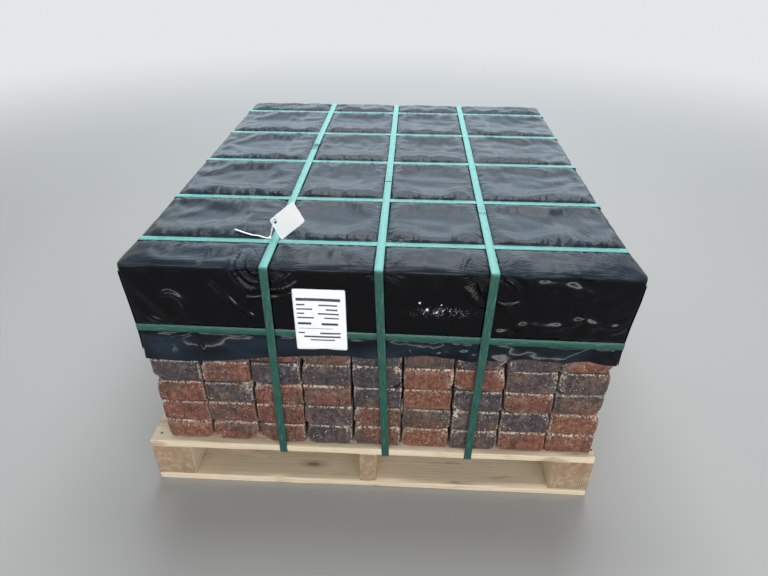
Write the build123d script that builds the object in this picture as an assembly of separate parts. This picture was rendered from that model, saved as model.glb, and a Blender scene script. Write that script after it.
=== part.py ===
from build123d import *
import math
import os

# A wooden pallet of concrete pavers under a black film cover, held by plastic straps.
# Sizes are in millimetres. The origin is on the ground under the middle of the pallet: X runs to
# the right along the front, Y runs to the back and Z is up.

# Pavers, laid with their short end to the front
paver_width = 101.6
paver_length = 152.4
paver_thickness = 57.0
paver_bevel = 5.0           # the worn edge, cut straight
joint_x = 2.9               # gap between two columns
joint_y = 1.6               # gap between two rows
columns = 9
rows = 7
layers = 8
stack_shift_x = 16.8        # the stack sits to the right of the pallet's middle

# Pallet
pallet_width = 990.0
pallet_depth = 1092.0
board_thickness = 19.0
deck_board_width = 89.0
deck_board_nudges = (0.0, 3.0, -4.0, 14.0, 5.0, -3.0, 0.0)
bottom_board_width = 100.0
bottom_board_count = 5
outer_stringer_width = 89.0
centre_stringer_width = 38.0
stringer_height = 89.0
stringer_edge = 3.0         # the eased edge of dressed timber
centre_stringer_x = -5.0

# Film cover; heights are above the deck, stand-offs are from the stones
film_thickness = 1.2
film_gap = 0.3
film_shoulder_standoff = 5.0
film_shoulder_radius = 5.0
shoulder_drop_share = 1.4   # the film's top edge is cut straight, by these shares of its radius
shoulder_inset_share = 0.8
film_hem_standoff = 2.4
film_lowest = 220.0
fold_thickness = 1.2
fold_reach = 76.0
fold_drop = 8.0
# Heights of the hem at even steps along each side, from left to right or from front to back
front_hem = (240, 246, 250, 256, 257, 258, 271, 262, 273, 262, 262)
back_hem = (250, 258, 248, 256, 252)
left_hem = (240, 252, 246, 258, 250)
right_hem = (262, 250, 258, 246, 252)

# Straps
strap_width = 16.0
strap_thickness = 1.0
strap_gap = 0.2             # between a strap and what it lies on
strap_nip_share = 3.0       # inner radius round a square edge, in such gaps
weld_length = 40.0
belt_height = 309.0
belt_tilt = 0.55            # degrees, its left end being the higher
# Cross straps: the gap between deck boards that each goes down and how far across that gap its
# foot lies, from 0 to 1; then how much further back its top is
cross_strap_feet = ((1, 0.10), (2, 0.75), (3, 0.95), (5, 0.05), (6, 0.90))
cross_strap_leans = (0.0, 0.0, 39.0, -2.0, 2.0)
cross_weld_height = 180.0
# Long straps: places on top, from the stack's left side; gaps at the foot between the strap and the
# centre stringer, negative on its left; places of the weld, from the stack's front
long_strap_tops = (264.0, 473.0, 680.0)
long_strap_foot_gaps = (-160.0, 13.0, 194.0)
long_strap_welds = (643.0, 429.0, 261.0)

# Label on the film and tag on a strap
label_width = 99.0
label_height = 142.0
label_thickness = 0.5
label_corner = 3.0
label_x = 312.0             # its left edge, from the stack's left side
label_foot = 274.0          # its lower edge, above the deck
tag_length = 64.0
tag_width = 46.0
tag_thickness = 1.0
tag_corner = 4.0
tag_hole = 4.8
tag_hole_inset = 9.0
tag_turn = -54.0
tag_pitch = -19.0
tag_roll = 66.0
tie_y = 116.2               # where the tie goes round its strap, from the stack's front
tie_turn = 40.0
tie_width = 3.6
tie_thickness = 1.2
tie_rise = 35.0
tie_side_gap = 1.0
tie_corner = 0.75
tie_head = 5.0
tail_width = 3.6
tail_bend = (-38.0, 4.0)
tail_end = (-72.0, 14.0)

# Sizes that follow
pitch_x = paver_width + joint_x
pitch_y = paver_length + joint_y
stack_width = columns * pitch_x - joint_x
stack_depth = rows * pitch_y - joint_y
stack_height = layers * paver_thickness
deck_z = 2 * board_thickness + stringer_height
stack_left = stack_shift_x - stack_width / 2
stack_front = -stack_depth / 2
film_top = stack_height + film_gap + film_thickness
film_shoulder = film_top - shoulder_drop_share * film_shoulder_radius
film_edge_standoff = film_shoulder_standoff - shoulder_inset_share * film_shoulder_radius
belt_standoff = film_gap + film_thickness
belt_rise = stack_width / 2 * math.tan(math.radians(belt_tilt))
belt_foot = belt_height - strap_width / 2 - belt_rise
strap_bend = film_shoulder_radius
strap_nip = strap_nip_share * strap_gap
cutter_reach = fold_reach / 2


def block(x, y, z, width, depth, height):
    """Box given by its lowest corner and its three sizes."""
    return Pos(x, y, z) * Box(width, depth, height, align=(Align.MIN, Align.MIN, Align.MIN))


def save(name, solids):
    """Write one node: a solid, or several that don't touch."""
    shape = solids[0] if len(solids) == 1 else Compound(children=list(solids))
    export_step(shape, os.path.join("parts", name + ".step"))


def stringer(width, x):
    """Dressed timber from front to back, with its four long edges eased."""
    timber = block(x, -pallet_depth / 2, board_thickness, width, pallet_depth, stringer_height)
    return chamfer(timber.edges().filter_by(Axis.Y), stringer_edge)


def deck_board_fronts():
    """Front edges of the top boards: evenly spaced, then nudged."""
    step = (pallet_depth - deck_board_width) / (len(deck_board_nudges) - 1)
    return [-pallet_depth / 2 + i * step + nudge for i, nudge in enumerate(deck_board_nudges)]


def bottom_board_fronts():
    """Front edges of the bottom boards, evenly spaced."""
    step = (pallet_depth - bottom_board_width) / (bottom_board_count - 1)
    return [-pallet_depth / 2 + i * step for i in range(bottom_board_count)]


def save_pallet():
    save("stringer_left", [stringer(outer_stringer_width, -pallet_width / 2)])
    centre_left = centre_stringer_x - centre_stringer_width / 2
    save("stringer_centre", [stringer(centre_stringer_width, centre_left)])
    save("stringer_right", [stringer(outer_stringer_width, pallet_width / 2 - outer_stringer_width)])
    for number, front in enumerate(deck_board_fronts(), 1):
        board = block(-pallet_width / 2, front, deck_z - board_thickness,
                      pallet_width, deck_board_width, board_thickness)
        save(f"deck_board_{number}", [board])
    for number, front in enumerate(bottom_board_fronts(), 1):
        board = block(-pallet_width / 2, front, 0, pallet_width, bottom_board_width, board_thickness)
        save(f"bottom_board_{number}", [board])


def paver():
    """One stone with all twelve edges cut back."""
    stone = Box(paver_width, paver_length, paver_thickness)
    return chamfer(stone.edges(), paver_bevel)


def edge_places():
    """Columns and rows of the stones that show round the outside of a layer."""
    return [(column, row) for row in range(rows) for column in range(columns)
            if column in (0, columns - 1) or row in (0, rows - 1)]


def save_pavers():
    stone = paver().solid()
    for layer in range(layers):
        z = deck_z + (layer + 0.5) * paver_thickness
        stones = [stone.moved(Location((stack_left + column * pitch_x + paver_width / 2,
                                        stack_front + row * pitch_y + paver_length / 2, z)))
                  for column, row in edge_places()]
        save(f"paver_layer_{layer + 1}", stones)
    core_width = stack_width - 2 * pitch_x
    core_depth = stack_depth - 2 * pitch_y
    save("paver_core", [block(stack_left + pitch_x, stack_front + pitch_y, deck_z,
                              core_width, core_depth, stack_height)])


def film_block(grow_x, grow_y, top):
    """The film's outer form: rectangles round the stones, ruled from the hem up to the top."""
    levels = ((film_lowest - strap_width, film_hem_standoff),
              (film_lowest, film_hem_standoff),
              (belt_foot, belt_standoff),
              (belt_height + strap_width / 2 + belt_rise, belt_standoff),
              (film_shoulder, film_shoulder_standoff),
              (top, film_edge_standoff))
    outlines = []
    for height, standoff in levels:
        width = stack_width + 2 * (standoff + grow_x)
        depth = stack_depth + 2 * (standoff + grow_y)
        outlines.append(Pos(stack_shift_x, 0, deck_z + height) * Rectangle(width, depth))
    return loft(outlines, ruled=True)


def hem_cutter(heights, length):
    """Everything under a wavy line, as a thick upright slab; X runs along the hem."""
    low = film_lowest - 2 * strap_width
    step = length / (len(heights) - 1)
    points = [(i * step, height) for i, height in enumerate(heights)]
    start = (-cutter_reach, heights[0])
    end = (length + cutter_reach, heights[-1])
    wave = Spline(*points)
    outline = wave + Polyline(points[-1], end, (end[0], low), (start[0], low), start, points[0])
    return extrude(make_face(Plane.XZ * outline), cutter_reach, both=True)


def fold_flap(side):
    """Triangle of spare film folded back from one corner, seen from the side, as a prism."""
    high = film_shoulder - fold_drop
    low = belt_height + strap_width + belt_rise
    edge = stack_depth / 2 + film_shoulder_standoff
    triangle = Polyline((edge, high), (edge, low), (edge - fold_reach, low), close=True)
    prism = extrude(make_face(Plane.YZ * triangle), pallet_width, both=True)
    return mirror(prism, Plane.XZ) if side < 0 else prism


def cover():
    """Draped film as a thin shell: pulled in by the belt, folded at its corners, with a wavy hem."""
    outer = film_block(0, 0, film_top)
    wider = film_block(fold_thickness, -film_gap, (film_shoulder + film_top) / 2)
    for side in (-1, 1):
        outer += wider & (Pos(0, 0, deck_z) * fold_flap(side))
    shell = outer - film_block(-film_thickness, -film_thickness, film_top - film_thickness)
    for y, heights in ((stack_front, front_hem), (-stack_front, back_hem)):
        shell -= Pos(stack_left, y, deck_z) * hem_cutter(heights, stack_width)
    for x, heights in ((stack_left, left_hem), (stack_left + stack_width, right_hem)):
        shell -= Pos(x, stack_front, deck_z) * Rot(0, 0, 90) * hem_cutter(heights, stack_depth)
    return shell


def strap_run(x_top, x_foot, z_top, z_foot, y_top, y_foot, thickness, side):
    """Side run of a strap: level sections joined by flat faces, so that it may lean and slant."""
    sections = []
    for x, y, z in ((x_foot, y_foot, z_foot), (x_top, y_top, z_top)):
        sections.append(Pos(x + side * thickness / 2, y, z) * Rectangle(thickness, strap_width))
    return loft(sections, ruled=True)


def strap_bend_piece(x, y, z, radius, x_side, z_side):
    """Quarter ring that carries the strap round an edge; x and z are its centre."""
    ring = Circle(radius + strap_thickness) - Circle(radius)
    reach = radius + strap_thickness
    corner = Pos(x_side * reach / 2, z_side * reach / 2) * Rectangle(reach, reach)
    quarter = Plane.XZ * (ring & corner)
    return Pos(x, y, z) * extrude(quarter, strap_width / 2, both=True)


def strap_loop(half_top, half_foot, z_top, z_foot, y_top, y_foot, foot_bend, mid_x=0.0):
    """Tight loop across X: over the top, down both sides and back underneath.

    half_top and half_foot are the inner half widths, z_top and z_foot the inner levels.
    """
    top = Box(2 * (half_top - strap_bend), strap_width, strap_thickness)
    foot = Box(2 * (half_foot - foot_bend), strap_width, strap_thickness)
    pieces = [Pos(mid_x, y_top, z_top + strap_thickness / 2) * top,
              Pos(mid_x, y_foot, z_foot - strap_thickness / 2) * foot]
    for side in (-1, 1):
        x_top = mid_x + side * half_top
        x_foot = mid_x + side * half_foot
        z_high = z_top - strap_bend
        z_low = z_foot + foot_bend
        pieces.append(strap_bend_piece(x_top - side * strap_bend, y_top, z_high, strap_bend, side, 1))
        pieces.append(strap_bend_piece(x_foot - side * foot_bend, y_foot, z_low, foot_bend, side, -1))
        pieces.append(strap_run(x_top, x_foot, z_high, z_low, y_top, y_foot, strap_thickness, side))
    return Part() + pieces


def side_weld(half_top, half_foot, z_top, z_foot, y_top, y_foot, mid_x, height):
    """Welded overlap on the left side run, one strap thickness proud of it."""
    def share(z):
        return (z - z_foot) / (z_top - z_foot)
    low, high = height - weld_length / 2, height + weld_length / 2
    ends = []
    for z in (low, high):
        half = half_foot + share(z) * (half_top - half_foot)
        y = y_foot + share(z) * (y_top - y_foot)
        ends.append((mid_x - half, y, z))
    (x_low, y_low, z_low), (x_high, y_high, z_high) = ends
    return strap_run(x_high, x_low, z_high, z_low, y_high, y_low, 2 * strap_thickness, -1)


def cross_strap(foot, lean):
    """Strap from side to side: over the film, down to the stones' feet and back under them."""
    gap, share = foot
    fronts = deck_board_fronts()
    lowest = fronts[gap - 1] + deck_board_width + strap_width / 2
    highest = fronts[gap] - strap_width / 2
    y_foot = lowest + share * (highest - lowest)
    y_top = y_foot + lean
    half_top = stack_width / 2 + film_shoulder_standoff + strap_gap
    half_foot = stack_width / 2 + film_gap
    z_top = deck_z + film_top + strap_gap
    z_foot = deck_z - strap_gap
    loop = strap_loop(half_top, half_foot, z_top, z_foot, y_top, y_foot, paver_bevel, stack_shift_x)
    weld = side_weld(half_top, half_foot, z_top - strap_bend, z_foot + paver_bevel,
                     y_top, y_foot, stack_shift_x, deck_z + cross_weld_height)
    return loop + weld


def long_strap_inner_top():
    """Level that the long straps lie at, over the cross straps."""
    return deck_z + film_top + 2 * strap_gap + strap_thickness


def long_strap_foot(foot_gap):
    """X of a long strap's foot, which has to miss the centre stringer."""
    reach = (centre_stringer_width + strap_width) / 2
    return centre_stringer_x + foot_gap + math.copysign(reach, foot_gap)


def long_strap(top, foot_gap, weld_y):
    """Strap from front to back: over everything, down past whichever reaches further out, the
    stones or the deck, and back under the deck."""
    half_top = stack_depth / 2 + film_shoulder_standoff + strap_gap
    half_foot = max(stack_depth, pallet_depth) / 2 + strap_gap
    z_top = long_strap_inner_top()
    z_foot = deck_z - board_thickness - strap_gap
    x_top = stack_left + top
    loop = strap_loop(half_top, half_foot, z_top, z_foot, -x_top, -long_strap_foot(foot_gap), strap_nip)
    weld = (Pos(x_top, stack_front + weld_y, z_top + strap_thickness)
            * Box(strap_width, weld_length, 2 * strap_thickness))
    return Rot(0, 0, 90) * loop + weld


def belt():
    """Strap round the cover, nearly level, with its welded overlap at the back."""
    reach = belt_standoff + strap_gap
    inner = RectangleRounded(stack_width + 2 * reach, stack_depth + 2 * reach, strap_nip)
    reach += strap_thickness
    outer = RectangleRounded(stack_width + 2 * reach, stack_depth + 2 * reach, strap_nip + strap_thickness)
    ring = extrude(outer - inner, strap_width / 2, both=True)
    weld = Pos(0, stack_depth / 2 + reach, 0) * Box(weld_length, 2 * strap_thickness, strap_width)
    return Pos(stack_shift_x, 0, deck_z + belt_height) * (Rot(0, belt_tilt, 0) * (ring + weld))


def save_straps():
    for number, place in enumerate(zip(cross_strap_feet, cross_strap_leans), 1):
        save(f"strap_cross_{number}", [cross_strap(*place)])
    for number, place in enumerate(zip(long_strap_tops, long_strap_foot_gaps, long_strap_welds), 1):
        save(f"strap_long_{number}", [long_strap(*place)])
    save("strap_belt", [belt()])


def label():
    """Card on the front of the film: it leans on the film above and lies over the belt below."""
    plate = extrude(RectangleRounded(label_width, label_height, label_corner), label_thickness)
    at_belt = belt_standoff + 2 * strap_gap + strap_thickness
    at_shoulder = film_shoulder_standoff + strap_gap
    slope = (at_shoulder - at_belt) / (film_shoulder - belt_foot)
    standoff = at_belt + slope * (label_foot + label_height / 2 - belt_foot)
    upright = Rot(90 + math.degrees(math.atan(slope)), 0, 0) * plate
    return Pos(stack_left + label_x + label_width / 2, stack_front - standoff,
               deck_z + label_foot + label_height / 2) * upright


def tie_origin():
    """Point on the film under the middle of the tie's loop."""
    return (stack_left + long_strap_tops[0], stack_front + tie_y, deck_z + film_top)


def tag():
    """Card held up by the tie, turned towards the front, with its hole at the tie's top."""
    plate = extrude(RectangleRounded(tag_width, tag_length, tag_corner), tag_thickness / 2, both=True)
    hole_x = -tag_width / 2 + tag_hole_inset
    hole_y = -tag_length / 2 + tag_hole_inset
    hole = Pos(hole_x, hole_y, 0) * Cylinder(tag_hole, 2 * tag_thickness)
    card = Pos(-hole_x, -hole_y, 0) * (plate - hole)
    turned = Rot(tag_roll, 0, 0) * (Rot(0, tag_pitch, 0) * (Rot(0, 0, tag_turn) * card))
    x, y, z = tie_origin()
    return Pos(x, y, z + tie_rise - tie_thickness) * turned


def tie_outline(half, grow):
    """The loop seen along the tie's width: upright beside the strap, then drawn in to the tag."""
    wide = half + grow
    narrow = tie_head / 2 + grow
    shoulder = strap_thickness + 2 * strap_gap
    top = tie_rise - tie_thickness + grow
    points = ((-wide, -grow), (wide, -grow), (wide, shoulder),
              (narrow, top), (-narrow, top), (-wide, shoulder))
    return make_face(FilletPolyline(*points, radius=tie_corner, close=True))


def tag_tie():
    """Cable tie: a pointed loop round the strap and through the tag, a head and a tail."""
    half = (strap_width / 2) / math.cos(math.radians(tie_turn)) + tie_width / 2 + tie_side_gap
    base = tie_thickness + strap_gap / 2
    band = tie_outline(half, tie_thickness) - tie_outline(half, 0)
    loop = Rot(0, 0, tie_turn) * Pos(0, 0, base) * extrude(Plane.XZ * band, tie_width / 2, both=True)
    foot = Vector(-half - tie_thickness, 0, 0).rotate(Axis.Z, tie_turn)
    head = Pos(foot.X, foot.Y, strap_gap / 2) * Box(tie_head, tie_head, tie_head,
                                                    align=(Align.CENTER, Align.CENTER, Align.MIN))
    route = Polyline((foot.X, foot.Y), (foot.X + tail_bend[0], foot.Y + tail_bend[1]),
                     (foot.X + tail_end[0], foot.Y + tail_end[1]))
    tail = Pos(0, 0, strap_gap / 2) * extrude(trace(route, tail_width), tie_thickness)
    return Pos(*tie_origin()) * (loop + head + tail)


save_pallet()
save_pavers()
save("cover", [cover()])
save_straps()
save("label", [label()])
save("tag", [tag()])
save("tag_tie", [tag_tie()])
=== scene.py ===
import math

import bpy
import numpy as np
from bpy.props import FloatProperty, FloatVectorProperty, PointerProperty
from mathutils import Matrix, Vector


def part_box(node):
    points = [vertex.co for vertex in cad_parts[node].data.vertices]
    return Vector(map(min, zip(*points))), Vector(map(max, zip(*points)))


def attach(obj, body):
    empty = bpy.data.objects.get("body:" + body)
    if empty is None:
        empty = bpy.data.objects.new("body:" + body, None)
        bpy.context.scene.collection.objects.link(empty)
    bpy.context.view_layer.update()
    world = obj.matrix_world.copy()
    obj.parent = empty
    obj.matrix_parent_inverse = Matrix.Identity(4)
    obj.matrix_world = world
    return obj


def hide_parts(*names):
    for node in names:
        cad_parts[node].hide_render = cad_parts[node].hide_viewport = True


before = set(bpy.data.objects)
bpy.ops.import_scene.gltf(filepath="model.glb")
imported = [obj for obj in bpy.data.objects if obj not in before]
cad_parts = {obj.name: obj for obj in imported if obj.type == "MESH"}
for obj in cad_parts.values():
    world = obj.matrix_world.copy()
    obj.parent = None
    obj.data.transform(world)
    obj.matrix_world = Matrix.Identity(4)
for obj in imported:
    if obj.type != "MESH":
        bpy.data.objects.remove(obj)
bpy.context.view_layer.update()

bl_info = {
    "name": "Pallet of paving stones",
    "version": (1, 0, 0),
    "blender": (4, 5, 0),
    "location": "3D View > Sidebar > Paving",
    "description": "Dresses a strapped and covered pallet of tumbled pavers",
    "category": "Object",
}


def corners(node):
    """Lowest and highest corner of a CAD node as arrays."""
    low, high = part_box(node)
    return np.array(low), np.array(high)


def srgb(red, green, blue):
    """Linear colour of an eight-bit display colour: c/12.92 under 0.04, else ((c + 0.055)/1.055)^2.4."""
    display = np.array([red, green, blue]) / 255.0
    linear = np.where(display < 0.04045, display / 12.92, ((display + 0.055) / 1.055) ** 2.4)
    return tuple(float(value) for value in linear)


STACK_LOW, STACK_HIGH = corners("paver_layer_1")
STACK_HIGH[2] = corners("paver_layer_8")[1][2]
STACK_MIDDLE = (STACK_LOW + STACK_HIGH) / 2
STACK_HALF = (STACK_HIGH - STACK_LOW) / 2
CENTRE = np.array([STACK_MIDDLE[0], 0.0])
DECK_Z = STACK_LOW[2]
CROSS_STRAPS = [f"strap_cross_{number}" for number in range(1, 6)]
LONG_STRAPS = [f"strap_long_{number}" for number in range(1, 4)]
# Middle of the cable tie's loop, from the stack's left front corner
TIE_PLACE = STACK_LOW[:2] + [0.264, 0.1162]
TIE_WIDTH, TIE_THICKNESS = 0.0036, 0.0012
TIE_TURN = math.radians(40)
# Least distance of straps and film from the stones, and how far the long straps stand off them at the top
LEAST_GAP = 0.0003
SHOULDER_REACH = 0.0052
# Radius of a strap's bend over film, and the longest step between the points of its route
STRAP_BEND = 0.005
ROUTE_STEP = 0.02
# For each long strap, the Y of its weld, on top, and how dark the weld's marks are
LONG_WELDS = ((0.1048, 1.0), (-0.1092, 0.2), (-0.2772, 0.2))
HIDDEN_WELD_MARK = 0.6
SHOWN_LAYERS = 5
HIDDEN_LAYERS = (6, 7, 8)


def length(name, default, description):
    """A size property in metres."""
    return FloatProperty(name=name, description=description, default=default, unit="LENGTH", precision=4)


def colour(name, default, description):
    """A colour property, given by its display value."""
    return FloatVectorProperty(name=name, description=description, default=srgb(*default), subtype="COLOR",
                               size=3, min=0.0, max=1.0)


class LoadSizes(bpy.types.PropertyGroup):
    """Sizes that a user would change; the overall ones come from the frame."""
    stone_width: length("Stone width", 0.1016, "Width of a paver, across the front")
    stone_length: length("Stone length", 0.1524, "Length of a paver, from front to back")
    stone_edge: length("Stone edge", 0.0050, "Radius that tumbling has worn on the edges")
    stone_chips: length("Stone chips", 0.0033, "Depth of the chips along the edges")
    stone_setback: length("Stone setback", 0.0022, "Furthest that a paver lies behind the stack's face")
    timber_edge: length("Timber edge", 0.0022, "Radius on the edges of boards and stringers")
    film_cell: length("Film mesh", 0.0105, "Spacing of the film's mesh before it is smoothed")
    film_puff: length("Film puff", 0.0120, "How high the film stands between the straps on top")
    film_flare: length("Film flare", 0.0100, "How far the hem stands off the stones")
    film_ripple: length("Film ripple", 0.0019, "Height of the fine wrinkles beside the straps")
    strap_width: length("Strap width", 0.0160, "Width of the strapping")
    strap_thickness: length("Strap thickness", 0.0010, "Thickness of the strapping")
    nail_radius: length("Nail radius", 0.0034, "Radius of a nail's head")


class LoadColours(bpy.types.PropertyGroup):
    """Colours of the finishes."""
    stone_charcoal: colour("Charcoal stone", (74, 68, 72), "Darkest tone of the blended pavers")
    stone_brown: colour("Brown stone", (98, 78, 69), "Middle tone of the blended pavers")
    stone_red: colour("Red stone", (116, 76, 66), "Red-brown tone of the blended pavers")
    stone_orange: colour("Orange stone", (128, 86, 68), "Warmest tone of the blended pavers")
    # Also painted on the stones' top edges as a highlight
    stone_dust: colour("Stone dust", (236, 226, 210), "Pale grains on worn edges")
    wood_pale: colour("Pale wood", (232, 216, 190), "Early wood of the boards")
    wood_dark: colour("Dark wood", (202, 176, 140), "Late wood of the boards")
    wood_end: colour("End grain", (168, 147, 122), "Sawn ends of the timber")
    wood_stain: colour("Wood stain", (124, 88, 64), "Knots and stains")
    film: colour("Film", (4, 4, 6), "Black polyethylene film")
    # Dust on the film and a painted sheen: its blue-grey tone where the film faces up and on the hem stands
    # in for the sky's reflection
    film_dust_and_sheen: colour("Film dust", (36, 52, 66), "Dust and scuffs on the film")
    strap: colour("Strap", (30, 82, 71), "Green polyester strapping")
    # Painted highlight: the strapping's colour where it faces up, lighter as if lit from above
    strap_painted_highlight: colour("Highlit strap", (92, 176, 168), "Strapping where it faces up")
    strap_mark: colour("Strap weld", (20, 34, 30), "Marks at a welded joint")
    paper: colour("Paper", (252, 253, 254), "Label, tag and cable tie")
    ink: colour("Ink", (58, 58, 64), "Printed bars")
    steel: colour("Steel", (120, 112, 104), "Nail heads")


def sizes():
    return bpy.context.scene.paving_sizes


def colours():
    return bpy.context.scene.paving_colours


def new_piece(name, points, faces, material, replaced, smooth=True):
    """Mesh object from an array of points (n, 3) and a list of arrays of faces, all of one size each."""
    mesh = bpy.data.meshes.new(name)
    mesh.vertices.add(len(points))
    mesh.vertices.foreach_set("co", np.ascontiguousarray(points, np.float32).ravel())
    corner_list = np.concatenate([group.ravel() for group in faces])
    lengths = np.concatenate([np.full(len(group), group.shape[1]) for group in faces])
    mesh.loops.add(len(corner_list))
    mesh.loops.foreach_set("vertex_index", corner_list.astype(np.int32))
    mesh.polygons.add(len(lengths))
    mesh.polygons.foreach_set("loop_start", (np.cumsum(lengths) - lengths).astype(np.int32))
    mesh.update(calc_edges=True)
    mesh.validate()
    mesh.polygons.foreach_set("use_smooth", np.full(len(lengths), smooth))
    piece = bpy.data.objects.new(name, mesh)
    bpy.context.scene.collection.objects.link(piece)
    mesh.materials.append(material)
    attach(piece, "root")
    if replaced:
        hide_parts(*replaced)
    return piece


def mesh_points(mesh):
    """A mesh's points as an array (n, 3)."""
    points = np.empty(len(mesh.vertices) * 3)
    mesh.vertices.foreach_get("co", points)
    return points.reshape(-1, 3)


def mesh_normals(mesh):
    """The normals at a mesh's points as an array (n, 3)."""
    normals = np.empty(len(mesh.vertices) * 3)
    mesh.vertex_normals.foreach_get("vector", normals)
    return normals.reshape(-1, 3)


def add_values(piece, name, values):
    """Stores one number, or a vector of three, for each point."""
    kind, key = ("FLOAT", "value") if values.ndim == 1 else ("FLOAT_VECTOR", "vector")
    attribute = piece.data.attributes.new(name, kind, "POINT")
    attribute.data.foreach_set(key, np.ascontiguousarray(values, np.float32).ravel())


def add_uv(piece, uv):
    """UV map from one pair of numbers for each point, in metres along and across."""
    corner_points = np.empty(len(piece.data.loops), np.int32)
    piece.data.loops.foreach_get("vertex_index", corner_points)
    layer = piece.data.uv_layers.new(name="along")
    layer.data.foreach_set("uv", uv[corner_points].astype(np.float32).ravel())


def unit(vectors):
    """Vectors brought to length 1."""
    return vectors / np.linalg.norm(vectors, axis=-1, keepdims=True)


def waves(points, wavelength, count, rng):
    """Smooth noise of about -1 to 1: the sum of count sine waves, sin(2 pi p.d / w + f), over the root of
    count, with directions d and phases f at random and lengths w from 0.7 to 1.4 of the given one."""
    directions = unit(rng.normal(size=(count, 3)))
    lengths = wavelength * rng.uniform(0.7, 1.4, count)
    phases = rng.uniform(0, 2 * math.pi, count)
    angles = points @ (directions / lengths[:, None]).T * 2 * math.pi + phases
    return np.sin(angles).sum(-1) / math.sqrt(count)


def smooth_step(value, start, end):
    """0 before start, 1 after end, and 3t^2 - 2t^3 between them."""
    share = np.clip((value - start) / (end - start), 0, 1)
    return share * share * (3 - 2 * share)


def grid_quads(numbers):
    """Quads between neighbours in a grid of point numbers."""
    corners_of = [numbers[:-1, :-1], numbers[1:, :-1], numbers[1:, 1:], numbers[:-1, 1:]]
    return np.stack(corners_of, -1).reshape(-1, 4)


def lattice(x_lines, y_lines, z_lines, bottom=True):
    """Points and outward quads of a box's surface, cut by planes at the given places."""
    shape = (len(x_lines), len(y_lines), len(z_lines))
    steps = np.stack(np.meshgrid(*[np.arange(count) for count in shape], indexing="ij"), -1)
    last = np.array(shape) - 1
    outside = ((steps == 0) | (steps == last)).any(-1)
    if not bottom:
        walls = ((steps == 0) | (steps == last))[..., :2].any(-1)
        outside &= walls | (steps[..., 2] == last[2])
    numbers = np.full(shape, -1)
    numbers[outside] = np.arange(outside.sum())
    chosen = steps[outside]
    points = np.stack([np.asarray(x_lines)[chosen[:, 0]], np.asarray(y_lines)[chosen[:, 1]],
                       np.asarray(z_lines)[chosen[:, 2]]], -1)
    quads = []
    for axis in range(3):
        for side in (0, -1):
            if axis == 2 and side == 0 and not bottom:
                continue
            quad = grid_quads(np.take(numbers, side, axis))
            outward = (side == -1) != (axis == 1)
            quads.append(quad if outward else quad[:, ::-1])
    return points, np.concatenate(quads), chosen


def edge_lines(half, radius, middle):
    """Cuts along one side of a rounded box: two steps over each edge, so that the arc is even, and the
    rest spread evenly between."""
    step = radius * math.tan(math.pi / 8)
    inner = np.linspace(-half + radius, half - radius, middle + 1)
    return np.concatenate([[-half, -half + radius - step], inner, [half - radius + step, half]])


def round_box(points, half, radius):
    """Rounds a box's edges: each point is set radius away from the nearest point of the box shrunk by
    radius. Gives the points and their outward directions."""
    inner = np.clip(points, -(half - radius), half - radius)
    away = unit(points - inner)
    return inner + away * radius, away


def edge_share(away):
    """How near a rounded box's points are to an edge, from their outward directions: 1 in its middle."""
    return np.clip((1 - np.abs(away).max(-1)) / (1 - math.sqrt(0.5)), 0, 1)


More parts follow.
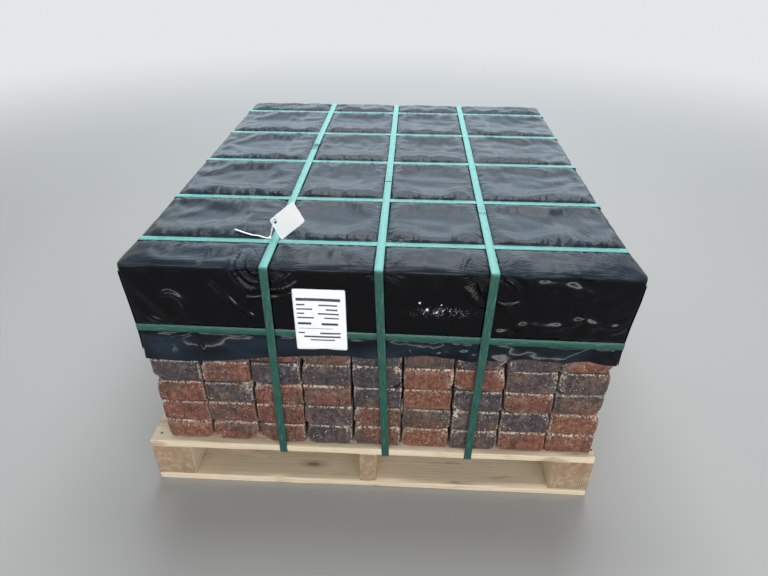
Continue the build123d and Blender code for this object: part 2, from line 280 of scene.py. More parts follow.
class Nodes:
    """A node tree that short calls add nodes to."""

    def __init__(self, tree):
        self.tree = tree

    def plug(self, socket, value):
        """Links an output to a socket, or sets its value."""
        if isinstance(value, bpy.types.NodeSocket):
            self.tree.links.new(value, socket)
        elif hasattr(value, "__len__") and len(value) == 3 and len(socket.default_value) == 4:
            socket.default_value = (*value, 1.0)
        else:
            socket.default_value = value

    def add(self, kind, inputs, **settings):
        node = self.tree.nodes.new("ShaderNode" + kind)
        for key, value in settings.items():
            setattr(node, key, value)
        for key, value in inputs.items():
            self.plug(node.inputs[key], value)
        return node

    def object_place(self):
        return self.add("TexCoord", {}).outputs["Object"]

    def value(self, name):
        return self.add("Attribute", {}, attribute_name=name).outputs["Fac"]

    def vector(self, name):
        return self.add("Attribute", {}, attribute_name=name).outputs["Vector"]

    def maths(self, operation, first, second=0.0, clamp=False):
        return self.add("Math", {0: first, 1: second}, operation=operation, use_clamp=clamp).outputs[0]

    def product(self, first, *others):
        for value in others:
            first = self.maths("MULTIPLY", first, value)
        return first

    def shift(self, first, second, operation="ADD"):
        return self.add("VectorMath", {0: first, 1: second}, operation=operation).outputs[0]

    def distance(self, place, spot=(0.0, 0.0, 0.0)):
        return self.add("VectorMath", {0: place, 1: spot}, operation="DISTANCE").outputs["Value"]

    def stretch(self, place, scale):
        return self.add("Mapping", {"Vector": place, "Scale": scale}).outputs[0]

    def noise(self, place, scale, detail=3.0, roughness=0.5, distortion=0.0):
        inputs = {"Vector": place, "Scale": scale, "Detail": detail, "Roughness": roughness,
                  "Distortion": distortion}
        return self.add("TexNoise", inputs).outputs["Fac"]

    def streaks(self, place, scales, detail=3.0, roughness=0.5, distortion=0.0):
        """Noise with a scale of its own for each axis."""
        return self.noise(self.stretch(place, scales), 1.0, detail, roughness, distortion)

    def cells(self, place, scale, output="Distance"):
        return self.add("TexVoronoi", {"Vector": place, "Scale": scale}).outputs[output]

    def between(self, value, low, high, to_low=0.0, to_high=1.0):
        """Maps a value from one range to another, clamped and smooth."""
        return self.add("MapRange", {0: value, 1: low, 2: high, 3: to_low, 4: to_high},
                        interpolation_type="SMOOTHSTEP").outputs[0]

    def mix(self, share, first, second, blend="MIX"):
        node = self.add("Mix", {0: share, 6: first, 7: second}, data_type="RGBA", blend_type=blend)
        return node.outputs[2]

    def ramp(self, share, stops):
        node = self.add("ValToRGB", {0: share})
        elements = node.color_ramp.elements
        while len(elements) < len(stops):
            elements.new(1.0)
        for element, (place, shade) in zip(elements, stops):
            element.position = place
            element.color = (*shade, 1.0)
        return node.outputs[0]

    def bump(self, height, strength, distance, under=None):
        inputs = {"Height": height, "Strength": strength, "Distance": distance}
        if under is not None:
            inputs["Normal"] = under
        return self.add("Bump", inputs).outputs[0]

    def seen(self):
        """1 for what the camera or a shiny piece sees, 0 for what only lights the scene."""
        rays = self.add("LightPath", {}).outputs
        return self.maths("MAXIMUM", rays["Is Camera Ray"], rays["Is Glossy Ray"])

    def blend(self, output, share, first, second):
        """Sends a mix of two shaders to the tree's output node."""
        mixed = self.add("MixShader", {0: share, 1: first, 2: second}).outputs[0]
        self.plug(self.tree.nodes[output].inputs["Surface"], mixed)


class Finish(Nodes):
    """A material made by short calls."""

    def __init__(self, name, roughness, specular=0.5):
        self.material = bpy.data.materials.new(name)
        self.material.use_nodes = True
        super().__init__(self.material.node_tree)
        self.shader = self.tree.nodes["Principled BSDF"]
        self.plug(self.shader.inputs["Roughness"], roughness)
        self.plug(self.shader.inputs["Specular IOR Level"], specular)

    def finish(self, colour_value, roughness=None, normal=None):
        self.plug(self.shader.inputs["Base Color"], colour_value)
        if roughness is not None:
            self.plug(self.shader.inputs["Roughness"], roughness)
        if normal is not None:
            self.plug(self.shader.inputs["Normal"], normal)
        return self.material


def paver_finish():
    """Tumbled concrete: tones that blend across a stone, sandy grains, and pale worn edges, paler on the top
    edges as a painted highlight.
    """
    paint = colours()
    look = Finish("tumbled concrete", 0.92, 0.2)
    place = look.shift(look.object_place(), look.vector("stone_shift"))
    drift = look.noise(place, 12.0, 4.0, 0.6, 0.8)
    swing = look.product(look.maths("SUBTRACT", drift, 0.5), 1.5)
    tone = look.maths("ADD", look.value("stone_tone"), swing)
    body = look.ramp(tone, ((0.05, paint.stone_charcoal), (0.40, paint.stone_brown), (0.66, paint.stone_red),
                            (0.98, paint.stone_orange)))
    mottle = look.between(look.noise(place, 90.0, 6.0, 0.75), 0.30, 0.70, 0.50, 1.42)
    drag = look.streaks(place, (170.0, 170.0, 26.0), 3.0, 0.6)
    mottle = look.product(mottle, look.between(drag, 0.32, 0.68, 0.80, 1.16))
    shade = look.add("CombineColor", {0: mottle, 1: mottle, 2: mottle}).outputs[0]
    body = look.mix(1.0, body, shade, "MULTIPLY")
    grains = look.cells(place, 340.0, "Color")
    grain = look.add("SeparateColor", {0: grains}).outputs[0]
    body = look.mix(look.product(look.between(grain, 0.16, 0.03), 0.5), body, srgb(58, 50, 50))
    sand = look.between(look.noise(place, 210.0, 3.0, 0.7), 0.47, 0.54)
    patches = look.between(look.noise(place, 24.0, 3.0, 0.6), 0.34, 0.60, 0.5, 1.0)
    # Pale edge wear, and a painted highlight on the edges that face up
    wear_and_highlight = look.product(look.value("stone_edge"), sand, patches)
    specks = look.product(look.between(look.noise(place, 360.0, 2.0, 0.5), 0.67, 0.72), patches)
    dusting = look.between(look.noise(place, 34.0, 4.0, 0.7), 0.5, 0.8, 0.0, 0.14)
    pale = look.maths("MAXIMUM", look.maths("MAXIMUM", wear_and_highlight, specks), dusting, clamp=True)
    body = look.mix(pale, body, paint.stone_dust)
    pits = look.noise(place, 420.0, 4.0, 0.7)
    relief = look.bump(look.noise(place, 120.0, 6.0, 0.7), 0.7, 0.0026)
    relief = look.bump(pits, 0.5, 0.0009, relief)
    rough = look.between(pits, 0.3, 0.7, 0.84, 0.98)
    return look.finish(body, rough, relief)


def wood_finish(name, wash):
    """Softwood: rings round a far-off heart, drawn out along the grain, with fibres, knots, stains and
    greyer sawn ends. wash is how grey the weather has made it."""
    paint = colours()
    look = Finish(name, 0.78, 0.25)
    grain = look.vector("grain")
    end = look.value("sawn_end")
    bent = look.streaks(grain, (1.6, 14.0, 14.0), 2.0)
    radius = look.distance(look.stretch(grain, (0.0, 1.0, 1.0)))
    saw = look.maths("FRACT", look.maths("ADD", look.product(radius, 230.0), look.product(bent, 5.5)))
    late = look.product(look.between(saw, 0.40, 0.90), look.between(saw, 1.0, 0.92))
    fibres = look.streaks(grain, (9.0, 420.0, 420.0), 4.0, 0.6)
    faint = look.between(look.streaks(grain, (3.0, 30.0, 30.0), 2.0), 0.3, 0.7, 0.15, 0.6)
    body = look.mix(look.product(late, faint), paint.wood_pale, paint.wood_dark)
    body = look.mix(look.between(fibres, 0.5, 0.70, 0.0, 0.6), body, paint.wood_dark)
    patches = look.streaks(grain, (4.0, 20.0, 20.0), 4.0, 0.65)
    body = look.mix(look.between(patches, 0.50, 0.74, 0.0, 0.40 + wash), body, srgb(188, 172, 146))
    ends = look.mix(look.product(late, 0.9), paint.wood_end, srgb(124, 96, 70))
    for scale, detail, rough, low, shade in ((60.0, 4.0, 0.7, 0.42, (196, 176, 148)),
                                             (22.0, 3.0, 0.6, 0.46, (148, 112, 88))):
        spots = look.between(look.noise(grain, scale, detail, rough), low, 0.66, 0.0, 0.6)
        ends = look.mix(spots, ends, srgb(*shade))
    body = look.mix(end, body, ends)
    knots = look.cells(look.stretch(grain, (3.6, 11.0, 11.0)), 1.0)
    knot = look.between(knots, 0.09, 0.04)
    halo = look.between(knots, 0.17, 0.07, 0.0, 0.35)
    stain = look.between(look.streaks(grain, (7.0, 30.0, 30.0), 4.0, 0.65), 0.58, 0.70, 0.0, 0.5)
    marks = look.maths("MAXIMUM", look.product(knot, 0.8), look.maths("MAXIMUM", stain, halo))
    body = look.mix(marks, body, paint.wood_stain)
    relief = look.bump(fibres, 0.35, 0.0010)
    relief = look.bump(late, 0.25, 0.0006, relief)
    return look.finish(body, look.between(fibres, 0.3, 0.7, 0.66, 0.88), relief)


# Least width of a crease that the film's mesh carries; the shader carries the finer ones
MESH_CREASE = 0.0095
# Height over width of a crease whose sides catch the front lamp, where it runs level
CREASE_HEIGHT = 0.27
FRONT_CREASES = (
    # start, middle and end on the front (X, Z), width, and share of that height
    ((-0.250, 0.590), (-0.240, 0.561), (-0.196, 0.532), 0.0110, 1.36),
    ((-0.238, 0.592), (-0.229, 0.569), (-0.198, 0.549), 0.0070, 1.05),
    ((-0.222, 0.594), (-0.214, 0.578), (-0.199, 0.566), 0.0060, 1.05),
    ((-0.228, 0.524), (-0.211, 0.519), (-0.196, 0.521), 0.0060, 1.25),
    ((-0.278, 0.536), (-0.254, 0.508), (-0.200, 0.461), 0.0090, 0.86),
    ((-0.385, 0.522), (-0.360, 0.521), (-0.345, 0.490), 0.0100, 1.24),
    ((-0.416, 0.467), (-0.394, 0.459), (-0.361, 0.467), 0.0100, 1.22),
    ((-0.178, 0.535), (-0.155, 0.540), (-0.122, 0.561), 0.0080, 1.10),
    ((-0.181, 0.519), (-0.160, 0.522), (-0.133, 0.537), 0.0070, 1.10),
    ((-0.178, 0.552), (-0.158, 0.560), (-0.135, 0.577), 0.0060, 1.05),
    ((0.239, 0.523), (0.258, 0.520), (0.284, 0.530), 0.0070, 1.25),
    ((0.239, 0.458), (0.256, 0.456), (0.273, 0.465), 0.0130, 1.06),
    ((0.272, 0.463), (0.283, 0.475), (0.300, 0.476), 0.0120, 1.06),
    ((0.296, 0.477), (0.333, 0.474), (0.370, 0.479), 0.0140, 1.06),
    ((0.376, 0.476), (0.383, 0.488), (0.392, 0.495), 0.0110, 1.10),
    ((0.391, 0.495), (0.411, 0.484), (0.436, 0.481), 0.0140, 1.04),
    ((0.428, 0.482), (0.451, 0.477), (0.472, 0.480), 0.0110, 1.20),
    ((0.450, 0.462), (0.470, 0.468), (0.485, 0.480), 0.0080, 0.95),
    ((0.306, 0.562), (0.356, 0.560), (0.424, 0.538), 0.0160, 0.60),
    ((0.365, 0.589), (0.398, 0.580), (0.432, 0.582), 0.0080, 1.05),
    ((0.245, 0.594), (0.274, 0.585), (0.298, 0.563), 0.0140, 1.22),
    ((0.241, 0.580), (0.259, 0.568), (0.276, 0.550), 0.0080, 1.10),
    ((0.200, 0.572), (0.207, 0.549), (0.226, 0.530), 0.0080, 1.10),
    ((0.178, 0.561), (0.193, 0.533), (0.215, 0.514), 0.0110, 1.12),
    ((0.167, 0.586), (0.185, 0.595), (0.209, 0.600), 0.0050, 1.10),
    ((0.176, 0.582), (0.191, 0.588), (0.214, 0.589), 0.0050, 1.10),
    # below the belt
    ((-0.396, 0.419), (-0.369, 0.426), (-0.344, 0.431), 0.0060, 0.9),
    ((-0.346, 0.433), (-0.329, 0.417), (-0.321, 0.392), 0.0070, 1.0),
    ((0.079, 0.412), (0.087, 0.397), (0.096, 0.390), 0.0050, 0.8),
    ((0.104, 0.420), (0.122, 0.404), (0.144, 0.407), 0.0060, 0.6),
    ((0.144, 0.404), (0.183, 0.406), (0.216, 0.420), 0.0080, 0.45),
    ((0.251, 0.419), (0.302, 0.406), (0.370, 0.412), 0.0080, 0.15),
    ((0.382, 0.412), (0.423, 0.395), (0.473, 0.394), 0.0080, 0.2),
)


def circle_through(first, second, third):
    """Centre and radius of the circle through three points of a plane."""
    one, two = np.subtract(second, first), np.subtract(third, first)
    off = one @ one * two - two @ two * one
    off = np.array([off[1], -off[0]]) / (2 * (one[0] * two[1] - one[1] * two[0]))
    return first + off, float(np.linalg.norm(off))


def crease_size(start, middle, end, width, steepness):
    """A crease's arc, as centre, radius and half length, and its height, which is greater where it runs
    steeply, so that its sides still catch the lamp."""
    centre, radius = circle_through(start, middle, end)
    chord = np.subtract(end, start)
    level = max(abs(float(chord[0])) / math.hypot(*chord), 0.6)
    half = max(math.dist(start, middle), math.dist(middle, end))
    return centre, radius, half, CREASE_HEIGHT * width * steepness / level


def crease_height(look, place):
    """Height of the finest creases on the film's front, too sharp for its mesh: each is an arc, from which a
    smooth step falls away to 0 over its width, and it dies away towards its ends."""
    flat = look.stretch(place, (1.0, 0.0, 1.0))

    def distance(spot):
        return look.distance(flat, (float(spot[0]), 0.0, float(spot[1])))

    total = 0.0
    for crease in FRONT_CREASES:
        if crease[3] >= MESH_CREASE:
            continue
        centre, radius, half, height = crease_size(*crease)
        away = look.maths("ABSOLUTE", look.maths("SUBTRACT", distance(centre), radius))
        crest = look.between(away, 0.0, crease[3], height, 0.0)
        near = look.between(distance(crease[1]), 0.6 * half, half, 1.0, 0.0)
        total = look.maths("ADD", look.product(crest, near), total)
    toward = look.add("SeparateXYZ", {0: place}).outputs[1]
    return look.product(total, look.between(toward, -0.51, -0.48, 1.0, 0.0))


SPLASH_DROPS = (
    # X, Z and radius of the larger drops of mud on the front
    (0.096, 0.520, 0.0024), (0.110, 0.506, 0.0034), (0.136, 0.516, 0.0018), (0.128, 0.498, 0.0020),
    (0.152, 0.503, 0.0014),
)


def film_finish():
    """Black film: near-black and glossy where it hangs, and dulled by grey dust where it faces up and on its
    hem, whose blue-grey tone there is also a painted sky sheen; its dust lies in clouds and smears, and mud
    has left pale drops."""
    paint = colours()
    look = Finish("black film", 0.24, 0.16)
    place = look.object_place()
    upward = look.value("upward")
    crush = look.noise(place, 26.0, 4.0, 0.55, 0.7)
    fine = look.noise(place, 130.0, 4.0, 0.6, 0.4)
    cloud = look.noise(place, 7.0, 6.0, 0.62, 0.6)
    smear = look.streaks(place, (9.0, 30.0, 30.0), 4.0, 0.6, 0.3)
    # Share of dust and painted sky sheen: where the film faces up, on its top edge and on the hem
    dust = look.product(look.between(cloud, 0.25, 0.75, 0.45, 1.0), look.between(fine, 0.3, 0.7, 0.8, 1.0),
                        look.between(smear, 0.3, 0.7, 0.75, 1.0),
                        # The hem's share is dust and a painted sheen
                        look.maths("MAXIMUM", upward, look.value("hem_dust_and_sheen")))
    body = look.mix(dust, paint.film, paint.film_dust_and_sheen)
    drops = look.between(look.noise(place, 380.0, 2.0, 0.6), 0.56, 0.60)
    sparse = look.between(look.noise(place, 70.0, 2.0), 0.42, 0.56)
    marks = look.product(drops, sparse, look.value("splash"))
    bend = look.add("TexNoise", {"Vector": place, "Scale": 300.0}).outputs["Color"]
    bent = look.shift(place, look.stretch(bend, (0.002, 0.0, 0.002)))
    for x, z, radius in SPLASH_DROPS:
        away = look.shift(bent, (x + 0.001, STACK_LOW[1] - 0.004, z + 0.001), "SUBTRACT")
        away = look.distance(look.stretch(away, (1.0, 0.2, 1.0)))
        marks = look.maths("MAXIMUM", marks, look.between(away, radius, 0.7 * radius))
    body = look.mix(marks, body, srgb(214, 218, 220))
    creases = look.noise(place, 15.0, 3.0, 0.5, 1.4)
    creases = look.maths("ABSOLUTE", look.maths("SUBTRACT", creases, 0.5))
    creases = look.between(creases, 0.0, 0.05)
    relief = look.bump(crush, look.between(upward, 0.0, 1.0, 0.07, 0.12), 0.0030)
    relief = look.bump(creases, look.between(upward, 0.0, 1.0, 0.08, 0.16), 0.0006, relief)
    relief = look.bump(fine, look.between(upward, 0.0, 1.0, 0.03, 0.12), 0.0010, relief)
    for name, scale in (("near_cross", (110.0, 8.0, 110.0)), ("near_long", (8.0, 110.0, 110.0))):
        ripple = look.streaks(place, scale, 1.5, 0.5, 0.3)
        relief = look.bump(look.product(ripple, look.value(name)), 0.8, 0.0045, relief)
    for name in ("fan", "bend_fan"):
        fan = look.noise(look.vector(name), 1.0, 1.5, 0.5, 0.2)
        relief = look.bump(look.product(fan, look.value(name + "_share")), 1.0, 0.0060, relief)
    relief = look.bump(crease_height(look, place), 1.0, 1.0, relief)
    shine = look.between(cloud, 0.3, 0.75, 0.0, 0.05)
    rough = look.maths("ADD", look.between(upward, 0.0, 1.0, 0.13, 0.26), shine)
    return look.finish(body, look.maths("ADD", rough, look.product(marks, 0.4)), relief)


def strap_finish():
    """Green strapping: embossed with small diamonds along its length, scuffed, dark where it is welded,
    and painted lighter where it faces up, a painted highlight.
    """
    paint = colours()
    look = Finish("green strapping", 0.32, 0.5)
    run = look.add("UVMap", {}, uv_map="along").outputs[0]
    along, across, _ = look.add("SeparateXYZ", {0: run}).outputs

    def wave(place, pitch):
        return look.maths("SINE", look.product(place, 2 * math.pi / pitch))

    diamonds = look.product(*[wave(look.maths(way, along, across), 0.0024) for way in ("ADD", "SUBTRACT")])
    scuff = look.streaks(run, (30.0, 240.0, 1.0), 4.0, 0.6)
    # Painted highlight: lighter where the strap faces up
    body = look.mix(look.value("painted_highlight_share"), paint.strap, paint.strap_painted_highlight)
    body = look.mix(look.between(scuff, 0.52, 0.78, 0.0, 0.2), body, srgb(170, 214, 200))
    weld = look.value("weld")
    ribs = look.between(wave(along, 0.005), -0.4, 0.4, 0.25, 1.0)
    body = look.mix(look.product(weld, ribs), body, paint.strap_mark)
    rough = look.maths("ADD", look.between(scuff, 0.3, 0.7, 0.24, 0.40), look.product(weld, 0.4))
    return look.finish(body, rough, look.bump(diamonds, 0.35, 0.0003))


def paper_finish(name, roughness):
    """White coated paper or card, inked where the piece carries the ink value."""
    paint = colours()
    look = Finish(name, roughness, 0.4)
    place = look.object_place()
    fibre = look.noise(place, 900.0, 3.0, 0.6)
    cloud = look.between(look.noise(place, 24.0, 3.0), 0.3, 0.7, 0.0, 0.10)
    body = look.mix(cloud, paint.paper, srgb(204, 206, 208))
    worn = look.between(look.noise(place, 700.0, 3.0), 0.25, 0.45, 0.55, 1.0)
    body = look.mix(look.product(look.value("ink"), worn), body, paint.ink)
    return look.finish(body, None, look.bump(fibre, 0.12, 0.0003))


def tie_finish():
    """White nylon with a faint milky mottle."""
    paint = colours()
    look = Finish("nylon tie", 0.42, 0.5)
    milk = look.between(look.noise(look.object_place(), 160.0, 3.0), 0.3, 0.7, 0.0, 0.2)
    body = look.mix(milk, paint.paper, srgb(206, 204, 196))
    return look.finish(body, None, look.bump(milk, 0.1, 0.0003))


def steel_finish():
    """Nail heads: dull steel with spots of rust."""
    paint = colours()
    look = Finish("nail steel", 0.5, 0.5)
    look.shader.inputs["Metallic"].default_value = 0.7
    rust = look.between(look.noise(look.object_place(), 300.0, 3.0), 0.45, 0.65)
    body = look.mix(rust, paint.steel, srgb(96, 62, 44))
    return look.finish(body, look.between(rust, 0.0, 1.0, 0.42, 0.8))


def stone_places(node):
    """Centres of the pavers round the outside of a layer, and on which sides each of them shows."""
    size = sizes()
    low, high = corners(node)
    stone = np.array([size.stone_width, size.stone_length, high[2] - low[2]])
    counts = np.round((high - low)[:2] / stone[:2]).astype(int)
    columns = np.linspace(low[0] + stone[0] / 2, high[0] - stone[0] / 2, counts[0])
    rows = np.linspace(low[1] + stone[1] / 2, high[1] - stone[1] / 2, counts[1])
    grid_x, grid_y = np.meshgrid(columns, rows, indexing="ij")
    outer = np.zeros(counts, bool)
    outer[[0, -1], :] = True
    outer[:, [0, -1]] = True
    centres = np.stack([grid_x[outer], grid_y[outer], np.full(outer.sum(), (low[2] + high[2]) / 2)], -1)
    inward = np.stack([(grid_x[outer] == columns[0]) * 1.0 - (grid_x[outer] == columns[-1]),
                       (grid_y[outer] == rows[0]) * 1.0 - (grid_y[outer] == rows[-1])], -1)
    return centres, stone / 2, inward


def knock_off(shaped, half, radius, rng):
    """Cuts stones' corners and edges by planes: a point past a plane n.p = s - d is set back onto it, with a
    depth d at random for each stone. Gives how deep each point was cut."""
    count = len(shaped)
    cut = np.zeros(shaped.shape[:2])
    signs = [np.array([sx, sy, sz]) for sx in (-1, 0, 1) for sy in (-1, 0, 1) for sz in (-1, 0, 1)
             if abs(sx) + abs(sy) + abs(sz) > 1]
    for sign in signs:
        corner = (sign != 0).all()
        normal = unit(sign * rng.uniform(0.7, 1.3, (count, 3)))
        reach = np.abs(normal) @ (half - radius) + radius
        depth = np.minimum(rng.gamma(1.0, 0.0034 if corner else 0.0008, count), 0.012 if corner else 0.0028)
        over = np.clip(np.einsum("svi,si->sv", shaped, normal) - (reach - depth)[:, None], 0, None)
        shaped -= over[..., None] * normal[:, None, :]
        cut += over
    return cut


def paver_layer(number, material):
    """A layer of stones: rounded boxes with knocked-off corners, q = c + R(p + n h), where h is shallow
    waves less chips that are the part of a coarser wave above a threshold, times how near the point is to
    an edge; R turns a stone by up to 0.55 degrees and c is its centre, set back by up to the given
    setback."""
    size = sizes()
    rng = np.random.default_rng(100 + number)
    node = f"paver_layer_{number}"
    centres, half, inward = stone_places(node)
    count = len(centres)
    points, quads, _ = lattice(*[edge_lines(side, size.stone_edge, steps)
                                 for side, steps in zip(half, (8, 7, 4))])
    rounded, away = round_box(points, half, size.stone_edge)
    edge = edge_share(away)
    shaped = np.repeat(rounded[None], count, axis=0)
    cut = knock_off(shaped, half, size.stone_edge, rng)
    shifts = rng.uniform(-3, 3, (count, 1, 3))
    field = rounded[None] + shifts
    broad = waves(field, 0.075, 7, rng) * 0.0007
    middle = waves(field, 0.020, 9, rng) * (0.0003 + 0.0008 * edge)
    chips = np.clip(waves(field, 0.032, 8, rng) - 0.3, 0, 1.2) * size.stone_chips * edge
    shrink = rng.uniform(0.0, 0.0012, (count, 1, 3)) * np.sign(rounded)[None]
    shaped += away[None] * (broad + middle - chips - 0.0010 * edge)[..., None] - shrink
    angles = np.radians(rng.uniform(-0.55, 0.55, (count, 1)))
    x, y = shaped[..., 0].copy(), shaped[..., 1].copy()
    shaped[..., 0] = x * np.cos(angles) - y * np.sin(angles)
    shaped[..., 1] = x * np.sin(angles) + y * np.cos(angles)
    centres[:, :2] += inward * rng.uniform(0.0008, size.stone_setback, (count, 1))
    shaped += centres[:, None, :]
    shaped[..., 2] = np.clip(shaped[..., 2], centres[0, 2] - half[2], centres[0, 2] + half[2])
    faces = quads[None] + (np.arange(count) * len(points))[:, None, None]
    piece = new_piece(f"tumbled_pavers_{number}", shaped.reshape(-1, 3), [faces.reshape(-1, 4)], material,
                      [node])
    dark = count * 2 // 5
    tones = rng.permutation(np.concatenate([rng.uniform(0.45, 0.92, count - dark),
                                            rng.uniform(0.05, 0.35, dark)]))
    # Worn edges with a painted highlight: edges that face up are made paler than the lower ones, as if lit
    # from above
    worn = np.clip(edge[None] * (0.40 + 1.0 * np.clip(2.2 * away[:, 2], -0.3, 1))[None] + cut / 0.005, 0, 1)
    add_values(piece, "stone_tone", np.repeat(tones, len(points)))
    add_values(piece, "stone_edge", worn.ravel())
    add_values(piece, "stone_shift", np.repeat(shifts[:, 0, :], len(points), axis=0))
    return piece


def timber(name, node, along, material, rng, wane=0.0, segments=70):
    """A board or stringer: a rounded box whose faces bow by slow waves and whose long edges are worn
    back by waves of the grain. Stores grain = (length, width, depth) from a heart outside the board."""
    size = sizes()
    low, high = corners(node)
    half = (high - low) / 2
    radius = size.timber_edge
    counts = [8, 8, 3]
    counts[along] = segments
    lines = [edge_lines(half[axis], radius, counts[axis]) for axis in range(3)]
    points, quads, _ = lattice(*lines)
    rounded, away = round_box(points, half, radius)
    edge = edge_share(away)
    others = [axis for axis in range(3) if axis != along]
    stretched = rounded * np.where(np.arange(3) == along, 0.12, 1.0)
    field = stretched + rng.uniform(-3, 3, 3)
    ends = (np.abs(away[:, along]) > 0.5) * 1.0
    bow = np.clip(waves(field, 0.05, 6, rng), -1, 0) * 0.0008
    nicks = np.clip(waves(rounded + rng.uniform(-3, 3, 3), 0.05, 8, rng) - 0.9, 0, 1) * 0.006 * edge
    worn = np.clip(waves(field, 0.03, 6, rng) + wane, 0, 2) * 0.0022 * edge * (1 - ends)
    fibre = waves(rounded + rng.uniform(-3, 3, 3), 0.012, 8, rng) * 0.00035 * ends
    shaped = rounded + away * (bow - nicks - worn + fibre - 0.0003)[:, None] + (low + high) / 2
    piece = new_piece(name, shaped, [quads], material, [node])
    heart = np.zeros(3)
    heart[others[0]] = rng.uniform(-1.1, 1.1) * half[others[0]]
    heart[others[1]] = rng.choice((-1, 1)) * rng.uniform(0.02, 0.07)
    grain = rounded - heart
    grain = np.stack([grain[:, along] + rng.uniform(-9, 9), grain[:, others[0]], grain[:, others[1]]], -1)
    add_values(piece, "grain", grain)
    add_values(piece, "sawn_end", ends)
    return piece


def disc_heads(centres, normal_z, radius, height):
    """Nail heads: a rim and a slightly raised middle, ten sides each, facing up or down."""
    sides = 10
    turn = np.arange(sides) * 2 * math.pi / sides
    rings = [(1.0, -0.6), (1.0, 0.55), (0.75, 1.0)]
    shape = [np.stack([np.cos(turn) * r * radius, np.sin(turn) * r * radius * normal_z,
                       np.full(sides, h * height * normal_z)], -1) for r, h in rings]
    shape.append(np.array([[0, 0, 1.1 * height * normal_z]]))
    shape = np.concatenate(shape)
    nxt = (np.arange(sides) + 1) % sides
    now = np.arange(sides)
    quads = np.concatenate([np.stack([now + k * sides, nxt + k * sides, nxt + (k + 1) * sides,
                                      now + (k + 1) * sides], -1) for k in range(2)])
    fan = np.stack([now + 2 * sides, nxt + 2 * sides, np.full(sides, 3 * sides)], -1)
    base = np.arange(sides)[::-1][None]
    points = (shape[None] + centres[:, None, :]).reshape(-1, 3)
    offset = (np.arange(len(centres)) * len(shape))[:, None, None]
    return points, [(group[None] + offset).reshape(-1, group.shape[1]) for group in (quads, fan, base)]


def nails(material):
    """Two nails through each board into each stringer, from above and from below."""
    size = sizes()
    rng = np.random.default_rng(40)
    head_height, sunk = 0.0004, 0.0006
    groups = []
    for kind, boards, side in (("deck_board", 7, 1), ("bottom_board", 5, -1)):
        for number in range(1, boards + 1):
            low, high = corners(f"{kind}_{number}")
            level = high[2] if side > 0 else low[2] + sunk
            for stringer in ("left", "centre", "right"):
                left, right = corners(f"stringer_{stringer}")
                middle = (left[0] + right[0]) / 2
                if stringer != "centre" and side > 0:
                    # As the photo shows them, near the outer sides
                    middle = left[0] + 0.019 if stringer == "left" else right[0] - 0.006
                for share in (0.24, 0.74):
                    x = middle + rng.uniform(-0.003, 0.003)
                    y = low[1] + (share + rng.uniform(-0.05, 0.05)) * (high[1] - low[1])
                    groups.append((x, y, level, side))
    places = np.array(groups)
    upper, upper_faces = disc_heads(places[places[:, 3] > 0][:, :3], 1, size.nail_radius, head_height)
    lower, lower_faces = disc_heads(places[places[:, 3] < 0][:, :3], -1, size.nail_radius, head_height)
    faces = [np.concatenate([one, other + len(upper)]) for one, other in zip(upper_faces, lower_faces)]
    points = np.concatenate([upper, lower])
    return new_piece("nails", points, faces, material, [], smooth=False)


def strap_ends(node):
    """Middle of a strap at its top run and at its foot run, from the CAD node's own points."""
    points = mesh_points(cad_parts[node].data)
    low, high = points[:, 2].min(), points[:, 2].max()
    narrow = 1 if node.startswith("strap_cross") else 0
    top = points[points[:, 2] > high - 0.0035][:, narrow]
    foot = points[points[:, 2] < low + 0.0002][:, narrow]
    return (top.min() + top.max()) / 2, (foot.min() + foot.max()) / 2, low, high


def rounded_route(corner_points, radii, step):
    """Closed route of straight runs and arcs: each corner is rounded by its radius, p = c + r(cos, sin),
    between the points where the arc touches its two runs. Gives its points."""
    corner_points = np.asarray(corner_points, float)
    count = len(corner_points)
    pieces = []
    for number in range(count):
        here = corner_points[number]
        back = unit(corner_points[number - 1] - here)
        ahead = unit(corner_points[(number + 1) % count] - here)
        half_angle = math.acos(float(np.clip(back @ ahead, -1, 1))) / 2
        reach = radii[number] / math.tan(half_angle)
        centre = here + unit(back + ahead) * radii[number] / math.sin(half_angle)
        start, end = here + back * reach, here + ahead * reach
        share = np.linspace(0, 1, 7)[:, None]
        swing = math.pi - 2 * half_angle
        arc = (np.sin((1 - share) * swing) * (start - centre) + np.sin(share * swing) * (end - centre))
        pieces.append(centre + arc / math.sin(swing))
    route = []
    for number in range(count):
        route.append(pieces[number])
        start, end = pieces[number][-1], pieces[(number + 1) % count][0]
        steps = max(int(np.linalg.norm(end - start) / step), 2)
        route.append(start + (end - start) * np.linspace(0, 1, steps + 1)[1:-1, None])
    return np.concatenate(route)


